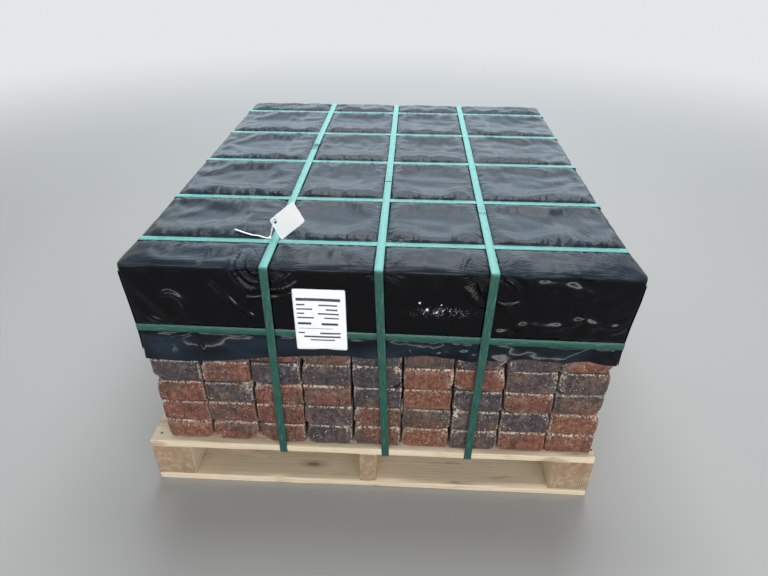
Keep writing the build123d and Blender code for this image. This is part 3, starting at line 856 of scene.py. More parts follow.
def ribbon(route, across, width, thickness, outward, closed=True):
    """Band: each point of the route carries a flat section, route + a across + b outward, with its edges
    eased; the last section joins the first, or both ends are capped."""
    edge = 0.25 * thickness
    section = np.array([(-width / 2, edge), (-width / 2, thickness - edge), (-width / 2 + edge, thickness),
                        (0, thickness), (width / 2 - edge, thickness), (width / 2, thickness - edge),
                        (width / 2, edge), (0, 0)])
    sides = len(section)
    count = len(route)
    points = (route[:, None, :] + section[None, :, 0, None] * across[:, None, :]
              + section[None, :, 1, None] * outward[:, None, :])
    ahead = np.roll(np.arange(count), -1)
    now = np.arange(count)
    if not closed:
        now, ahead = now[:-1], ahead[:-1]
    quads = []
    for k in range(sides):
        following = (k + 1) % sides
        quads.append(np.stack([now * sides + k, ahead * sides + k, ahead * sides + following,
                               now * sides + following], -1))
    steps = np.linalg.norm(np.roll(route, -1, axis=0) - route, axis=1)
    run = np.concatenate([[0], np.cumsum(steps)[:-1]])
    uv = np.stack([np.repeat(run, sides), np.tile(section[:, 0], count)], -1)
    faces = [np.concatenate(quads)]
    if not closed:
        faces.append(np.stack([np.arange(sides)[::-1], np.arange(sides) + (count - 1) * sides]))
    points = points.reshape(-1, 3)
    corner = points[faces[0][0]]
    if np.cross(corner[1] - corner[0], corner[3] - corner[0]) @ (corner.mean(0) - points[:sides].mean(0)) < 0:
        faces = [group[:, ::-1] for group in faces]
    return points, faces, uv


def band_frame(route, axis):
    """Outward and across directions of a closed route that runs in a plane about across the given axis."""
    tangent = unit(np.roll(route, -1, axis=0) - np.roll(route, 1, axis=0))
    outward = unit(np.cross(tangent, np.eye(3)[axis]))
    across = np.cross(outward, tangent)
    if (outward * (route - route.mean(0))).sum() < 0:
        outward = -outward
    return across, outward


def strap_piece(name, node, route, axis, material, weld_place, mark, rng):
    """A strap from its route; the weld is a pad lying on it, marked dark. It stores where it faces up,
    which its finish paints lighter as a highlight.
    """
    size = sizes()
    across, outward = band_frame(route, axis)
    drift = waves(route + rng.uniform(-2, 2, 3), 0.7, 4, rng) * 0.0006
    route = route + across * drift[:, None]
    points, faces, uv = ribbon(route, across, size.strap_width, size.strap_thickness, outward)
    distance = np.linalg.norm(route - weld_place, axis=1)
    middle = int(distance.argmin())
    pad = weld_pad(route[middle], np.roll(route, -1, axis=0)[middle] - route[middle], across[middle],
                   outward[middle], size.strap_width, size.strap_thickness)
    weld = np.concatenate([np.zeros(len(points)), mark * pad[2]])
    joined = np.concatenate([points, pad[0]])
    piece = new_piece(name, joined, [*faces, pad[1] + len(points)], material, [node])
    add_uv(piece, np.concatenate([uv, pad[3]]))
    add_values(piece, "weld", weld)
    # Where the strap faces up, which the finish paints lighter as a highlight
    add_values(piece, "painted_highlight_share", smooth_step(mesh_normals(piece.data)[:, 2], 0.4, 0.8))
    return piece


def weld_pad(place, tangent, across, outward, width, thickness):
    """Second layer of strap at a weld: a thin rounded plate, 40 mm long, with the weld's marks on it."""
    half = np.array([0.020, width / 2, thickness / 2])
    edge = 0.25 * thickness
    points, quads, _ = lattice(np.linspace(-half[0], half[0], 21), edge_lines(half[1], edge, 4),
                               edge_lines(half[2], edge, 1))
    rounded, _ = round_box(points, half, edge)
    frame_axes = np.stack([unit(tangent), across, outward])
    if np.linalg.det(frame_axes) < 0:
        quads = quads[:, ::-1]
    weld = smooth_step(0.016 - np.abs(rounded[:, 0]), 0.0, 0.003) * (rounded[:, 2] > 0)
    return place + (rounded + [0, 0, 1.52 * thickness]) @ frame_axes, quads, weld, rounded[:, :2] + 0.5


def cross_strap_route(node):
    """Corners of a cross strap's closed route: over the film and back under the stones."""
    size = sizes()
    y_top, y_foot, z_foot, z_top = strap_ends(node)
    low, high = corners(node)
    thickness = size.strap_thickness
    foot_reach = STACK_HALF[0] + LEAST_GAP
    left, right = STACK_MIDDLE[0] - foot_reach, STACK_MIDDLE[0] + foot_reach
    foot, top = z_foot + thickness, z_top - thickness
    corner_points = [(left, y_foot, foot), (low[0] + thickness, y_top, top),
                     (high[0] - thickness, y_top, top), (right, y_foot, foot)]
    return rounded_route(corner_points, [STRAP_BEND] * 4, ROUTE_STEP)


def long_strap_route(node):
    """Corners of a long strap's closed route: over everything, down to the deck's edge and back under."""
    size = sizes()
    x_top, x_foot, z_foot, z_top = strap_ends(node)
    high = corners(node)[1]
    thickness = size.strap_thickness
    shoulder, deck = STACK_HALF[1] + SHOULDER_REACH, high[1] - thickness
    foot, top = z_foot + thickness, z_top - 2 * thickness
    corner_points = [(x_foot, -deck, foot), (x_top, -shoulder, top),
                     (x_top, shoulder, top), (x_foot, deck, foot)]
    return rounded_route(corner_points, [0.0008, STRAP_BEND, STRAP_BEND, 0.0008], ROUTE_STEP)


def belt_levels(x):
    """Lower and upper edge of the belt at a place across the load; its box tells how far it slopes down
    from left to right."""
    low, high = corners("strap_belt")
    half = sizes().strap_width / 2
    drop = (high[2] - low[2]) / 2 - half
    middle = (low[2] + high[2]) / 2 - drop * (x - STACK_MIDDLE[0]) / STACK_HALF[0]
    return middle - half, middle + half


def belt_route():
    """Corners of the belt's closed route round the cover."""
    low, high = corners("strap_belt")
    thickness = sizes().strap_thickness
    half = np.array([(high[0] - low[0]) / 2 - thickness, -low[1] - thickness])
    middle = (low + high) / 2
    corner_points = [(middle[0] + sx * half[0], sy * half[1], sum(belt_levels(middle[0] + sx * half[0])) / 2)
                     for sx, sy in ((-1, -1), (1, -1), (1, 1), (-1, 1))]
    return rounded_route(corner_points, [0.0012] * 4, ROUTE_STEP)


def film_lines(low, high, straps, cell):
    """Cuts across the film's top: at both edges of each strap and its middle, and evenly between."""
    half = sizes().strap_width / 2
    breaks = [low] + [place + side * half for place in sorted(straps) for side in (-1, 1)] + [high]
    runs = []
    for number in range(len(breaks) - 1):
        start, end = breaks[number], breaks[number + 1]
        steps = max(int(round((end - start) / cell)), 2)
        runs.append(np.linspace(start, end, steps + 1)[:-1])
    return np.concatenate(runs + [[high]])


def beyond(value, low, high):
    """How far a value lies outside the range from low to high, or 0."""
    return np.maximum(np.maximum(low - value, value - high), 0)


def bell(value, middle, width):
    """1 at the middle, dying away on both sides as exp(-((v - middle)/width)^2)."""
    return np.exp(-((value - middle) / width) ** 2)


def beside(distance, width, start):
    """0 at a strap's edge, full past start, and dying away from there as exp(-d/width)."""
    return np.exp(-distance / width) * smooth_step(distance, 0, start)


def from_corner(points, side):
    """Distance and angle of points, seen from above, from the stack's corner on the given sides."""
    away = STACK_HALF[:2] - (points[:, :2] - CENTRE) * side
    return np.hypot(away[:, 0], away[:, 1]), np.arctan2(away[:, 1], away[:, 0])


class Film:
    """The cover's sheet: a box lattice with no bottom, whose lowest row is the wavy hem. It stands off the
    stack by the given lengths, no steeper than steepest beside a strap, and clear of the strap itself."""
    edge_standoff = 0.0012
    shoulder_standoff = 0.0024
    belt_standoff = 0.0009
    steepest = 0.8
    clear = 0.0004
    # Largest stand-offs under the cross straps, the long straps and the belt, and the reach of the tie's loop
    under_cross = 0.0001
    under_long = 0.0012
    under_belt = 0.0013
    tie_reach = 0.017
    # Heights of the hem over the deck and how far it stands off, at even steps along each side, from left
    # to right or from front to back
    hems = {"front": (0.240, 0.244, 0.248, 0.255, 0.257, 0.259, 0.271, 0.259, 0.273, 0.265, 0.259),
            "back": (0.250, 0.258, 0.248, 0.256, 0.252),
            "left": (0.240, 0.252, 0.246, 0.258, 0.250),
            "right": (0.259, 0.250, 0.258, 0.246, 0.252)}
    flares = {"front": (0.8, 0.8, 0.75, 0.6, 0.5, 0.55, 0.8, 1.2, 0.85, 1.0, 0.8),
              "back": (0.9, 1.2, 0.6, 1.1, 0.8),
              "left": (1.2, 0.6, 1.1, 0.7, 1.0),
              "right": (0.8, 1.0, 0.6, 1.2, 0.9)}

    def __init__(self):
        size = sizes()
        self.cross = [strap_ends(node)[:2] for node in CROSS_STRAPS]
        self.long = [strap_ends(node)[:2] for node in LONG_STRAPS]
        self.top = corners("cover")[1][2]
        self.belt = belt_levels(STACK_MIDDLE[0])
        thickness = size.strap_thickness
        self.cross_reach = LEAST_GAP, STACK_LOW[0] - corners("strap_cross_1")[0][0] - thickness
        self.long_reach = corners("strap_long_1")[1][1] - thickness - STACK_HALF[1], SHOULDER_REACH
        reach = STACK_HALF + self.edge_standoff
        # The mesh is finer along X and Z, so that the front is the finest
        x_lines = film_lines(STACK_MIDDLE[0] - reach[0], STACK_MIDDLE[0] + reach[0],
                             [place[0] for place in self.long], 0.8 * size.film_cell)
        y_lines = film_lines(-reach[1], reach[1], [place[0] for place in self.cross], 1.25 * size.film_cell)
        upper = int(round((self.top - self.belt[1]) / (0.55 * size.film_cell)))
        heights = np.concatenate([np.linspace(-1, 0, 7)[:-1], np.linspace(0, 1, 3)[:-1],
                                  np.linspace(1, 2, upper + 1)])
        self.points, self.quads, self.steps = lattice(x_lines, y_lines, heights, bottom=False)
        self.is_top = self.steps[:, 2] == len(heights) - 1
        self.level = self.points[:, 2].copy()
        self.place()

    def along_sides(self, points, table):
        """A value at each point from the numbers at even steps along the four sides."""
        across = (points[:, 0] - STACK_LOW[0]) / (2 * STACK_HALF[0])
        along = (points[:, 1] - STACK_LOW[1]) / (2 * STACK_HALF[1])
        outs = self.outs(points)
        on_side = outs[:, 0] > outs[:, 1]
        places = {side: np.interp(across if side in ("front", "back") else along,
                                  np.linspace(0, 1, len(values)), values) for side, values in table.items()}
        return np.select([~on_side & (points[:, 1] < 0), ~on_side, points[:, 0] < STACK_MIDDLE[0]],
                         [places["front"], places["back"], places["left"]], places["right"])

    def outs(self, points):
        """How far each point stands off the stack's sides, in X and in Y; negative inside."""
        return np.abs(points[:, :2] - CENTRE) - STACK_HALF[:2]

    def place(self):
        """Sets the skirt: rows from the hem to the belt, over the belt, and up to the top edge, each pushed
        out by its stand-off. Between belt and hem the film leans out, by flare times
        (0.15 clip((t - 0.2)/0.3)^2 + max(t - 0.5, 0))/0.65."""
        points, level, size = self.points, self.level, sizes()
        hem = DECK_Z + self.along_sides(points, self.hems)
        low, high = belt_levels(points[:, 0])
        flare = size.film_flare * self.along_sides(points, self.flares)
        below = np.clip(-level, 0, 1)
        out = np.interp(level, [1, 1.75, 2], [self.belt_standoff, self.shoulder_standoff, self.edge_standoff])
        lean = 0.15 * np.clip((below - 0.2) / 0.3, 0, 1) ** 2 + np.maximum(below - 0.5, 0)
        out += flare * lean / 0.65
        self.push(out - self.edge_standoff)
        below_belt, on_belt = low + level * (low - hem), low + level * (high - low)
        points[:, 2] = np.select([level < 0, level < 1], [below_belt, on_belt],
                                 high + (level - 1) * (self.top - high))

    def push(self, distance):
        """Moves the walls' points straight out of their faces."""
        for axis in (0, 1):
            last = self.steps[:, axis].max()
            self.points[:, axis] += np.where(~self.is_top, distance, 0) * (
                (self.steps[:, axis] == last) * 1.0 - (self.steps[:, axis] == 0))

    def rise(self, points):
        """How high the points lie between the deck, 0, and the film's top, 1."""
        return np.clip((points[:, 2] - DECK_Z) / (self.top - DECK_Z), 0, 1)

    def to_strap(self, points, axis, rise):
        """Distance from the edge of the nearest strap, long along X or cross along Y, each of which leans
        from its foot, where rise is 0, to its top, where it is 1; negative under the strap."""
        middles = [foot + rise * (top - foot) for top, foot in (self.long, self.cross)[axis]]
        away = np.min([np.abs(points[:, axis] - middle) for middle in middles], axis=0)
        return away - sizes().strap_width / 2

    def gaps(self, points):
        """Distance of each point from the edge of the nearest cross strap, long strap and the belt that runs
        over its own face; 1 where none does."""
        outs, rise = self.outs(points), self.rise(points)
        on_top = points[:, 2] > self.top - 0.006
        near_end = (outs[:, 1] > -0.001) & (outs[:, 1] > outs[:, 0]) & ~on_top
        near_side = (outs[:, 0] > -0.001) & ~near_end & ~on_top
        cross = np.maximum(self.to_strap(points, 1, rise), 0)
        long = np.maximum(self.to_strap(points, 0, rise), 0)
        belt = beyond(points[:, 2], *belt_levels(points[:, 0]))
        return np.where(near_end, 1.0, cross), np.where(near_side, 1.0, long), belt

    def flap_reach(self, heights):
        """How far the fold of spare film reaches back from a corner at the given heights."""
        low = self.belt[0]
        return np.interp(heights, [low - 0.055, low, self.top - 0.012, self.top - 0.005],
                         [0.110, 0.076, 0.0, -0.020])

    def flap_rest(self, heights):
        """Stand-off of the sheet under a flap, which the flap lies on."""
        return np.interp(heights, [self.belt[1], self.top - 0.02], [0.0010, 0.0022])

    def room(self, points, axis, under_flap=True):
        """Largest stand-off from the sides, for axis 0 or 1, or rise over the top, for axis 2, that leaves
        what lies on the film outside: at a strap's edge it is the strap's own less a little, and it grows
        with the distance from there by the steepest slope."""
        if axis == 2:
            tie = np.hypot(points[:, 0] - TIE_PLACE[0], points[:, 1] - TIE_PLACE[1])
            rests = ((self.under_cross, self.to_strap(points, 1, 1.0) - self.clear),
                     (self.under_long, self.to_strap(points, 0, 1.0) - self.clear),
                     (self.under_cross, tie - self.tie_reach))
            return np.min([own + self.steepest * np.maximum(away, 0) for own, away in rests], axis=0)
        along, rise = points[:, 1 - axis], self.rise(points)
        reach = self.cross_reach if axis == 0 else self.long_reach
        own = reach[0] + rise * (reach[1] - reach[0]) - self.clear
        belt = beyond(points[:, 2], *belt_levels(points[:, 0]))
        gap = np.maximum(self.to_strap(points, 1 - axis, rise) - self.clear, 0)
        room = np.minimum(self.under_belt + self.steepest * belt, own + self.steepest * gap)
        if axis == 1:
            low, high = corners("label")
            away = np.hypot(beyond(along, low[0], high[0]), beyond(points[:, 2], low[2], high[2]))
            under = np.interp(points[:, 2], [low[2], high[2]], [0.0031, 0.0050]) + 0.22 * away
            room = np.where(points[:, 1] < 0, np.minimum(room, under), room)
        elif under_flap:
            inside = self.flap_reach(points[:, 2]) - (STACK_HALF[1] - np.abs(along))
            room = np.minimum(room, self.flap_rest(points[:, 2]) + self.steepest * np.maximum(-inside, 0))
        return room

    def settle(self, points, level):
        """Keeps the sheet outside the stones and inside what lies on it; level tells its walls, under 1.97,
        from its top, 2."""
        wall = level < 1.97
        outs = self.outs(points)
        for axis in (0, 1):
            outs[:, axis] = np.where(wall, np.minimum(outs[:, axis], self.room(points, axis)), outs[:, axis])
        inside = np.flatnonzero((outs < LEAST_GAP).all(1) & wall)
        outs[inside, outs[inside].argmax(1)] = LEAST_GAP
        points[:, :2] = CENTRE + np.sign(points[:, :2] - CENTRE) * (outs + STACK_HALF[:2])
        over = (outs < 0.004).all(1)
        highest = self.top + self.room(points, 2)
        points[:, 2] = np.where(over, np.minimum(points[:, 2], highest), points[:, 2])
        points[:, 2] = np.where(over & ~wall, np.maximum(points[:, 2], STACK_HIGH[2] + 0.0004), points[:, 2])


def simulate(piece, film):
    """Lets the film swell and buckle between the straps: cloth pinned under them and grown by 1%, with air
    pressing it out, over a box for the stones; then no point may have moved further than the limit."""
    held_at_rim, limit, frames = 0.35, 0.016, 24
    rest = film.points.copy()
    cross, long, _ = film.gaps(rest)
    under_belt = (film.level >= 0) & (film.level <= 1)
    rim = film.level > 1.96
    corner_line = (film.outs(rest) > -0.008).all(1) & (film.level > -0.2)
    weight = np.where(np.minimum(cross, long) < 0.0005, 1.0, 0.0)
    weight = np.where(under_belt | corner_line, 1.0, weight)
    weight = np.where(rim & ~film.is_top, np.maximum(weight, held_at_rim), weight)
    group = piece.vertex_groups.new(name="held")
    for number in np.flatnonzero(weight > 0):
        group.add([int(number)], float(weight[number]), "REPLACE")
    box_points, box_quads, _ = lattice(*[np.array([low, high]) for low, high in zip(STACK_LOW, STACK_HIGH)])
    blocker = new_piece("blocker", box_points, [box_quads], bpy.data.materials[0], [])
    blocker.modifiers.new("Collision", "COLLISION")
    blocker.collision.thickness_outer = 0.001
    blocker.collision.cloth_friction = 6.0
    cloth = piece.modifiers.new("Cloth", "CLOTH")
    settings = cloth.settings
    settings.quality = 6
    settings.mass = 0.12
    settings.tension_stiffness = settings.compression_stiffness = 25
    settings.shear_stiffness = 8
    settings.bending_stiffness = 0.2
    settings.tension_damping = settings.compression_damping = settings.shear_damping = 8
    settings.bending_damping = 0.6
    settings.air_damping = 2
    settings.vertex_group_mass = "held"
    settings.shrink_min = -0.010
    settings.use_pressure = True
    settings.uniform_pressure_force = 1.2
    settings.effector_weights.gravity = 0.25
    cloth.collision_settings.use_collision = True
    cloth.collision_settings.distance_min = 0.001
    cloth.collision_settings.collision_quality = 3
    scene = bpy.context.scene
    scene.frame_start, scene.frame_end = 1, frames
    cloth.point_cache.frame_start, cloth.point_cache.frame_end = 1, frames
    for step in range(1, frames + 1):
        scene.frame_set(step)
    evaluated = piece.evaluated_get(bpy.context.evaluated_depsgraph_get())
    moved = mesh_points(evaluated.data) - rest
    far = np.linalg.norm(moved, axis=1, keepdims=True)
    moved *= np.minimum(1, limit / np.maximum(far, 1e-9))
    piece.modifiers.remove(cloth)
    piece.vertex_groups.clear()
    scene.frame_set(1)
    bpy.data.objects.remove(blocker)
    film.points = rest + moved


def quilt(film):
    """The slack that the simulation starts from: on top, each cell between straps rises by puff times a
    flat-topped bump, 1 - (1 - d/45 mm)^2, of its distance d from the nearest strap or edge."""
    points, slope = film.points, 0.045
    cross, long, _ = film.gaps(points)
    nearest = np.clip(np.minimum.reduce([cross, long, -film.outs(points).max(1)]), 0, slope) / slope
    points[:, 2] += np.where(film.is_top, sizes().film_puff * (1 - (1 - nearest) ** 2), 0)


def curve_through(path, steps):
    """Points on a smooth curve through the given ones: for each span 0.5 (2p1 + (p2 - p0) t
    + (2p0 - 5p1 + 4p2 - p3) t^2 + (3p1 - p0 - 3p2 + p3) t^3), the ends repeated."""
    path = np.asarray(path, float)
    path = np.concatenate([path[:1], path, path[-1:]])
    t = np.linspace(0, 1, steps + 1)[:-1, None]
    spans = [0.5 * (2 * p1 + (p2 - p0) * t + (2 * p0 - 5 * p1 + 4 * p2 - p3) * t * t
                    + (3 * p1 - p0 - 3 * p2 + p3) * t ** 3)
             for p0, p1, p2, p3 in zip(path[:-3], path[1:-2], path[2:-1], path[3:])]
    return np.concatenate(spans + [path[-1:]])


def fold_height(place, path, width, height, lean):
    """Height of one fold over flat points: along its path
    h (exp(-s^2) - 0.55 exp(-((s - 1.5 lean)/0.7)^2)), where s is the distance to the left of the path over
    width; it dies away towards both ends."""
    path = curve_through(path, 4)
    near = np.flatnonzero((beyond(place[:, 0], path[:, 0].min(), path[:, 0].max()) < 3 * width)
                          & (beyond(place[:, 1], path[:, 1].min(), path[:, 1].max()) < 3 * width))
    spot = place[near]
    best, side, travel = np.full(len(spot), 9.0), np.zeros(len(spot)), np.zeros(len(spot))
    walked = 0.0
    for start, end in zip(path[:-1], path[1:]):
        run = end - start
        span = math.hypot(*run)
        share = np.clip(((spot - start) @ run) / span ** 2, 0, 1)
        away = spot - start - share[:, None] * run
        distance = np.hypot(away[:, 0], away[:, 1])
        closer = distance < best
        best = np.where(closer, distance, best)
        side = np.where(closer, np.sign(run[0] * away[:, 1] - run[1] * away[:, 0]) * distance, side)
        travel = np.where(closer, walked + share * span, travel)
        walked += span
    travel /= walked
    offset = side / width
    fade = smooth_step(travel, -0.03, 0.12) * smooth_step(1 - travel, -0.03, 0.18)
    result = np.zeros(len(place))
    result[near] = height * fade * (bell(offset, 0, 1) - 0.55 * bell(offset, 1.5 * lean, 0.7))
    return result


# Shares of the folds' heights that the front, where creases go with them, and the other walls have
FRONT_SHARE = 0.15
WALL_SHARE = 0.85
FRONT_FOLDS = (
    # path over the front: X, and the height, which runs on over the top edge; width, height, valley's side
    (((-0.246, 0.599), (-0.227, 0.560), (-0.193, 0.537)), 0.0100, 0.0040, 1),
    (((-0.270, 0.570), (-0.230, 0.523), (-0.197, 0.468)), 0.0110, 0.0062, 1),
    (((-0.381, 0.529), (-0.356, 0.514), (-0.344, 0.462)), 0.0090, 0.0030, 1),
    (((-0.395, 0.478), (-0.373, 0.461), (-0.343, 0.457)), 0.0080, 0.0030, -1),
    (((-0.180, 0.536), (-0.158, 0.553), (-0.133, 0.572)), 0.0080, 0.0044, 1),
    (((0.178, 0.559), (0.200, 0.530), (0.221, 0.512)), 0.0110, 0.0030, 1),
    (((0.241, 0.602), (0.275, 0.598), (0.300, 0.584)), 0.0080, -0.0034, 0),
    (((0.241, 0.588), (0.272, 0.580), (0.298, 0.567)), 0.0080, 0.0050, -1),
    (((0.297, 0.590), (0.306, 0.577), (0.320, 0.564)), 0.0070, 0.0034, 1),
    (((0.318, 0.578), (0.352, 0.563), (0.407, 0.550), (0.452, 0.525), (0.482, 0.500)), 0.0120, 0.0080, -1),
    (((0.370, 0.594), (0.392, 0.578), (0.418, 0.566)), 0.0090, 0.0058, -1),
    (((0.239, 0.465), (0.262, 0.462), (0.284, 0.478), (0.330, 0.481), (0.362, 0.483), (0.384, 0.502)),
     0.0085, 0.0040, -1),
    (((0.384, 0.502), (0.400, 0.496), (0.414, 0.490), (0.450, 0.486), (0.482, 0.484)), 0.0085, 0.0040, -1),
    (((0.424, 0.512), (0.455, 0.500), (0.480, 0.487)), 0.0070, 0.0044, -1),
    (((0.432, 0.450), (0.460, 0.462), (0.482, 0.476)), 0.0090, 0.0030, -1),
    # below the belt
    (((-0.340, 0.418), (-0.328, 0.404), (-0.318, 0.386)), 0.0080, 0.0048, -1),
    (((-0.300, 0.405), (-0.240, 0.401), (-0.195, 0.397)), 0.0060, 0.0034, -1),
    (((0.075, 0.401), (0.110, 0.408), (0.160, 0.411), (0.190, 0.416)), 0.0080, 0.0030, -1),
)


def crease_rise(place):
    """Height of the wider creases over the flat front, the same arcs with a smooth step on each side."""
    rise = np.zeros(len(place))
    for crease in FRONT_CREASES:
        if crease[3] < MESH_CREASE:
            continue
        centre, radius, half, height = crease_size(*crease)
        away = np.abs(np.hypot(*(place - centre).T) - radius)
        fade = 1 - smooth_step(np.hypot(*(place - crease[1]).T), 0.6 * half, half)
        rise += height * (1 - smooth_step(away, 0.0, crease[3])) * fade
    return rise


def strap_fans(film, straps, rng):
    """Folds that fan down from where each strap bends over the top edge, like those seen on the front, some
    short ones above the belt and some just below it. Each is a path, width, height and valley's side."""
    folds = []
    for top, _ in straps:
        for side in (-1, 1):
            for _ in range(3):
                start = film.top + rng.uniform(-0.030, 0.010)
                reach = rng.uniform(0.03, 0.10)
                drop = rng.uniform(0.005, 0.060)
                at_strap = top + side * 0.006
                middle, far = at_strap + side * reach / 2, at_strap + side * reach
                if rng.random() < 0.5:
                    path = ((at_strap, start), (middle, start - drop / 3), (far, start - drop))
                else:
                    low = start - 0.03 - drop
                    path = ((far, start + 0.01), (middle, low + drop / 3), (at_strap, low))
                width, height = rng.uniform(0.005, 0.010), rng.uniform(0.0025, 0.0050)
                folds.append((path, width, height, rng.choice((-1, 1))))
        for _ in range(2):
            start = np.array([top + rng.choice((-1, 1)) * rng.uniform(0.03, 0.09), rng.uniform(0.460, 0.530)])
            end = start + [rng.uniform(-0.06, 0.06), rng.uniform(-0.03, -0.01)]
            path = (start, (start + end) / 2 + rng.normal(0, 0.006, 2), end)
            width, height = rng.uniform(0.006, 0.011), rng.uniform(0.002, 0.004)
            folds.append((path, width, height, rng.choice((-1, 1))))
        for _ in range(2):
            start = np.array([top + rng.choice((-1, 1)) * rng.uniform(0.02, 0.10), 0.418])
            end = start + [rng.choice((-1, 1)) * rng.uniform(0.02, 0.05), -0.020]
            folds.append(((start, end), rng.uniform(0.005, 0.008), rng.uniform(0.003, 0.005), -1))
    return folds


def make_cover(material):
    """The film: a lattice that flares at the hem, slack, simulation, one smoothing subdivision, then
    ripples, folds and creases, and the spare film folded back at each corner."""
    film = Film()
    rng = np.random.default_rng(7)
    quilt(film)
    piece = new_piece("film_draft", film.points, [film.quads], material, [])
    simulate(piece, film)
    film.settle(film.points, film.level)
    piece.data.vertices.foreach_set("co", film.points.astype(np.float32).ravel())
    add_values(piece, "level", film.level)
    smoother = piece.modifiers.new("Smooth", "SUBSURF")
    smoother.levels = smoother.render_levels = 1
    mesh = bpy.data.meshes.new_from_object(piece.evaluated_get(bpy.context.evaluated_depsgraph_get()))
    level = np.empty(len(mesh.vertices))
    mesh.attributes["level"].data.foreach_get("value", level)
    quads = np.empty(len(mesh.loops), np.int32)
    mesh.loops.foreach_get("vertex_index", quads)
    bpy.data.objects.remove(piece)
    points = shape_cover(film, mesh_points(mesh), mesh_normals(mesh), level, rng)
    flap_points, flap_quads = corner_flaps(film, rng)
    points = pull_corner(film, np.concatenate([points, flap_points]))
    faces = [quads.reshape(-1, 4), flap_quads + len(points) - len(flap_points)]
    piece = new_piece("film_cover", points, faces, material, ["cover"])
    dress_cover(film, piece)
    return piece


def shape_cover(film, points, normals, level, rng):
    """Adds to each point of the film, along its normal: ripples across the straps and the belt, ripples that
    fan from the corners, the folds of the four walls and the front's creases; then settles it again."""
    cross, long, belt = film.gaps(points)
    on_top = smooth_step(normals[:, 2], 0.5, 0.8)
    patch = smooth_step(waves(points, 0.17, 8, rng), -0.7, 0.9)
    hatch = waves(points * [1, 0.1, 1], 0.019, 9, rng) * beside(cross, 0.034, 0.004)
    hatch += waves(points * [0.1, 1, 1], 0.018, 9, rng) * beside(long, 0.022, 0.004) * (0.4 + 0.6 * on_top)
    hatch += waves(points * [1, 1, 0.1], 0.018, 9, rng) * beside(belt, 0.014, 0.003)
    height = sizes().film_ripple * hatch * (0.25 + 0.75 * patch)
    between_straps = smooth_step(np.minimum(cross, long), 0.002, 0.03) * (0.3 + 0.7 * on_top)
    height += 0.0006 * waves(points * [0.35, 1, 1], 0.040, 12, rng) * between_straps
    for sx, sy, strength in ((-1, -1, 0.5), (1, -1, 1.0), (-1, 1, 0.5), (1, 1, 0.7)):
        radius, angle = from_corner(points, [sx, sy])
        swing = np.sin(36 * angle + 2.0 * waves(points, 0.12, 5, rng))
        height += 0.0011 * strength * swing * bell(radius, 0.10, 0.065) * on_top
    outs = film.outs(points)
    walls = [(1, -1, FRONT_FOLDS)] + [(axis, end, strap_fans(film, straps, rng)) for axis, end, straps in (
        (1, 1, film.long), (0, -1, film.cross), (0, 1, film.cross))]
    for axis, end, folds in walls:
        depth = np.maximum(-outs[:, axis], 0)
        flat = np.stack([points[:, 1 - axis], points[:, 2] + depth], -1)
        chosen = np.flatnonzero((depth < 0.07) & (outs[:, 1 - axis] < 0.0005)
                                & (points[:, axis] * end > 0))
        flat = flat[chosen]
        folded = sum(fold_height(flat, *fold) for fold in folds)
        if folds is FRONT_FOLDS:
            height[chosen] += FRONT_SHARE * folded + crease_rise(flat)
        else:
            height[chosen] += WALL_SHARE * smooth_step(film.top - flat[:, 1], 0.0, 0.02) * folded
    points = points + normals * height[:, None]
    film.settle(points, level)
    return points


def pull_corner(film, points):
    """Draws the film's top corners at the front outwards, dying away along each edge."""
    for side, reach in ((-1, 0.005), (1, 0.008)):
        away = points - [STACK_MIDDLE[0] + side * STACK_HALF[0], STACK_LOW[1], film.top]
        share = bell(np.hypot(away[:, 1], away[:, 2]), 0, 0.10) * smooth_step(side * away[:, 0], -0.07, 0)
        points = points + np.array([side * reach, -0.003, 0.0]) * share[:, None]
    return points


def corner_flaps(film, rng):
    """Spare film at each corner, folded back over the side: a triangle from the top corner down to the hem,
    q = (side + s, corner - u reach(z), z), whose far edge is a fold that turns in to the sheet below."""
    across = np.concatenate([np.linspace(0, 0.9, 16), [0.94, 0.97, 0.99, 1.0, 1.0]])
    down = np.linspace(0, 1, 46)
    u, v = np.meshgrid(across, down, indexing="ij")
    number = np.arange(u.size).reshape(u.shape)
    quad = grid_quads(number)
    lift = np.interp(across, [0, 0.05, 0.5, 0.97, 0.99, 1.0],
                     [0.0004, 0.0009, 0.0022, 0.0022, 0.0018, 0.0012])
    lift[-1] = 0.0
    points, quads = [], []
    for sx in (-1, 1):
        for sy in (-1, 1):
            z_top = film.top - 0.014
            z_low = film.belt[0] - 0.046 + 0.004 * waves(np.stack([u * 0.1, v * 0, u * 0], -1), 0.08, 4, rng)
            z = z_top + (z_low - z_top) * v
            y = STACK_HALF[1] + 0.0006 - u * film.flap_reach(z)
            spot = np.stack([np.full(u.shape, sx * 0.5), sy * y, z], -1).reshape(-1, 3)
            swell = 0.8 + 0.5 * waves(spot * [0, 1, 0.5], 0.05, 6, rng)
            loose = 1 + 1.5 * smooth_step(film.belt[0] - spot[:, 2], 0.005, 0.04)
            rest = film.flap_rest(spot[:, 2]) + 0.0001
            lifted = np.repeat(lift, len(down)) * smooth_step(film.top - spot[:, 2], 0.014, 0.06)
            out = rest + lifted * swell * loose
            out = np.maximum(np.minimum(out, film.room(spot, 0, under_flap=False)), rest)
            spot[:, 0] = STACK_MIDDLE[0] + sx * (STACK_HALF[0] + out)
            points.append(spot)
            quads.append((quad if sx == sy else quad[:, ::-1]) + len(quads) * u.size)
    return np.concatenate(points), np.concatenate(quads)


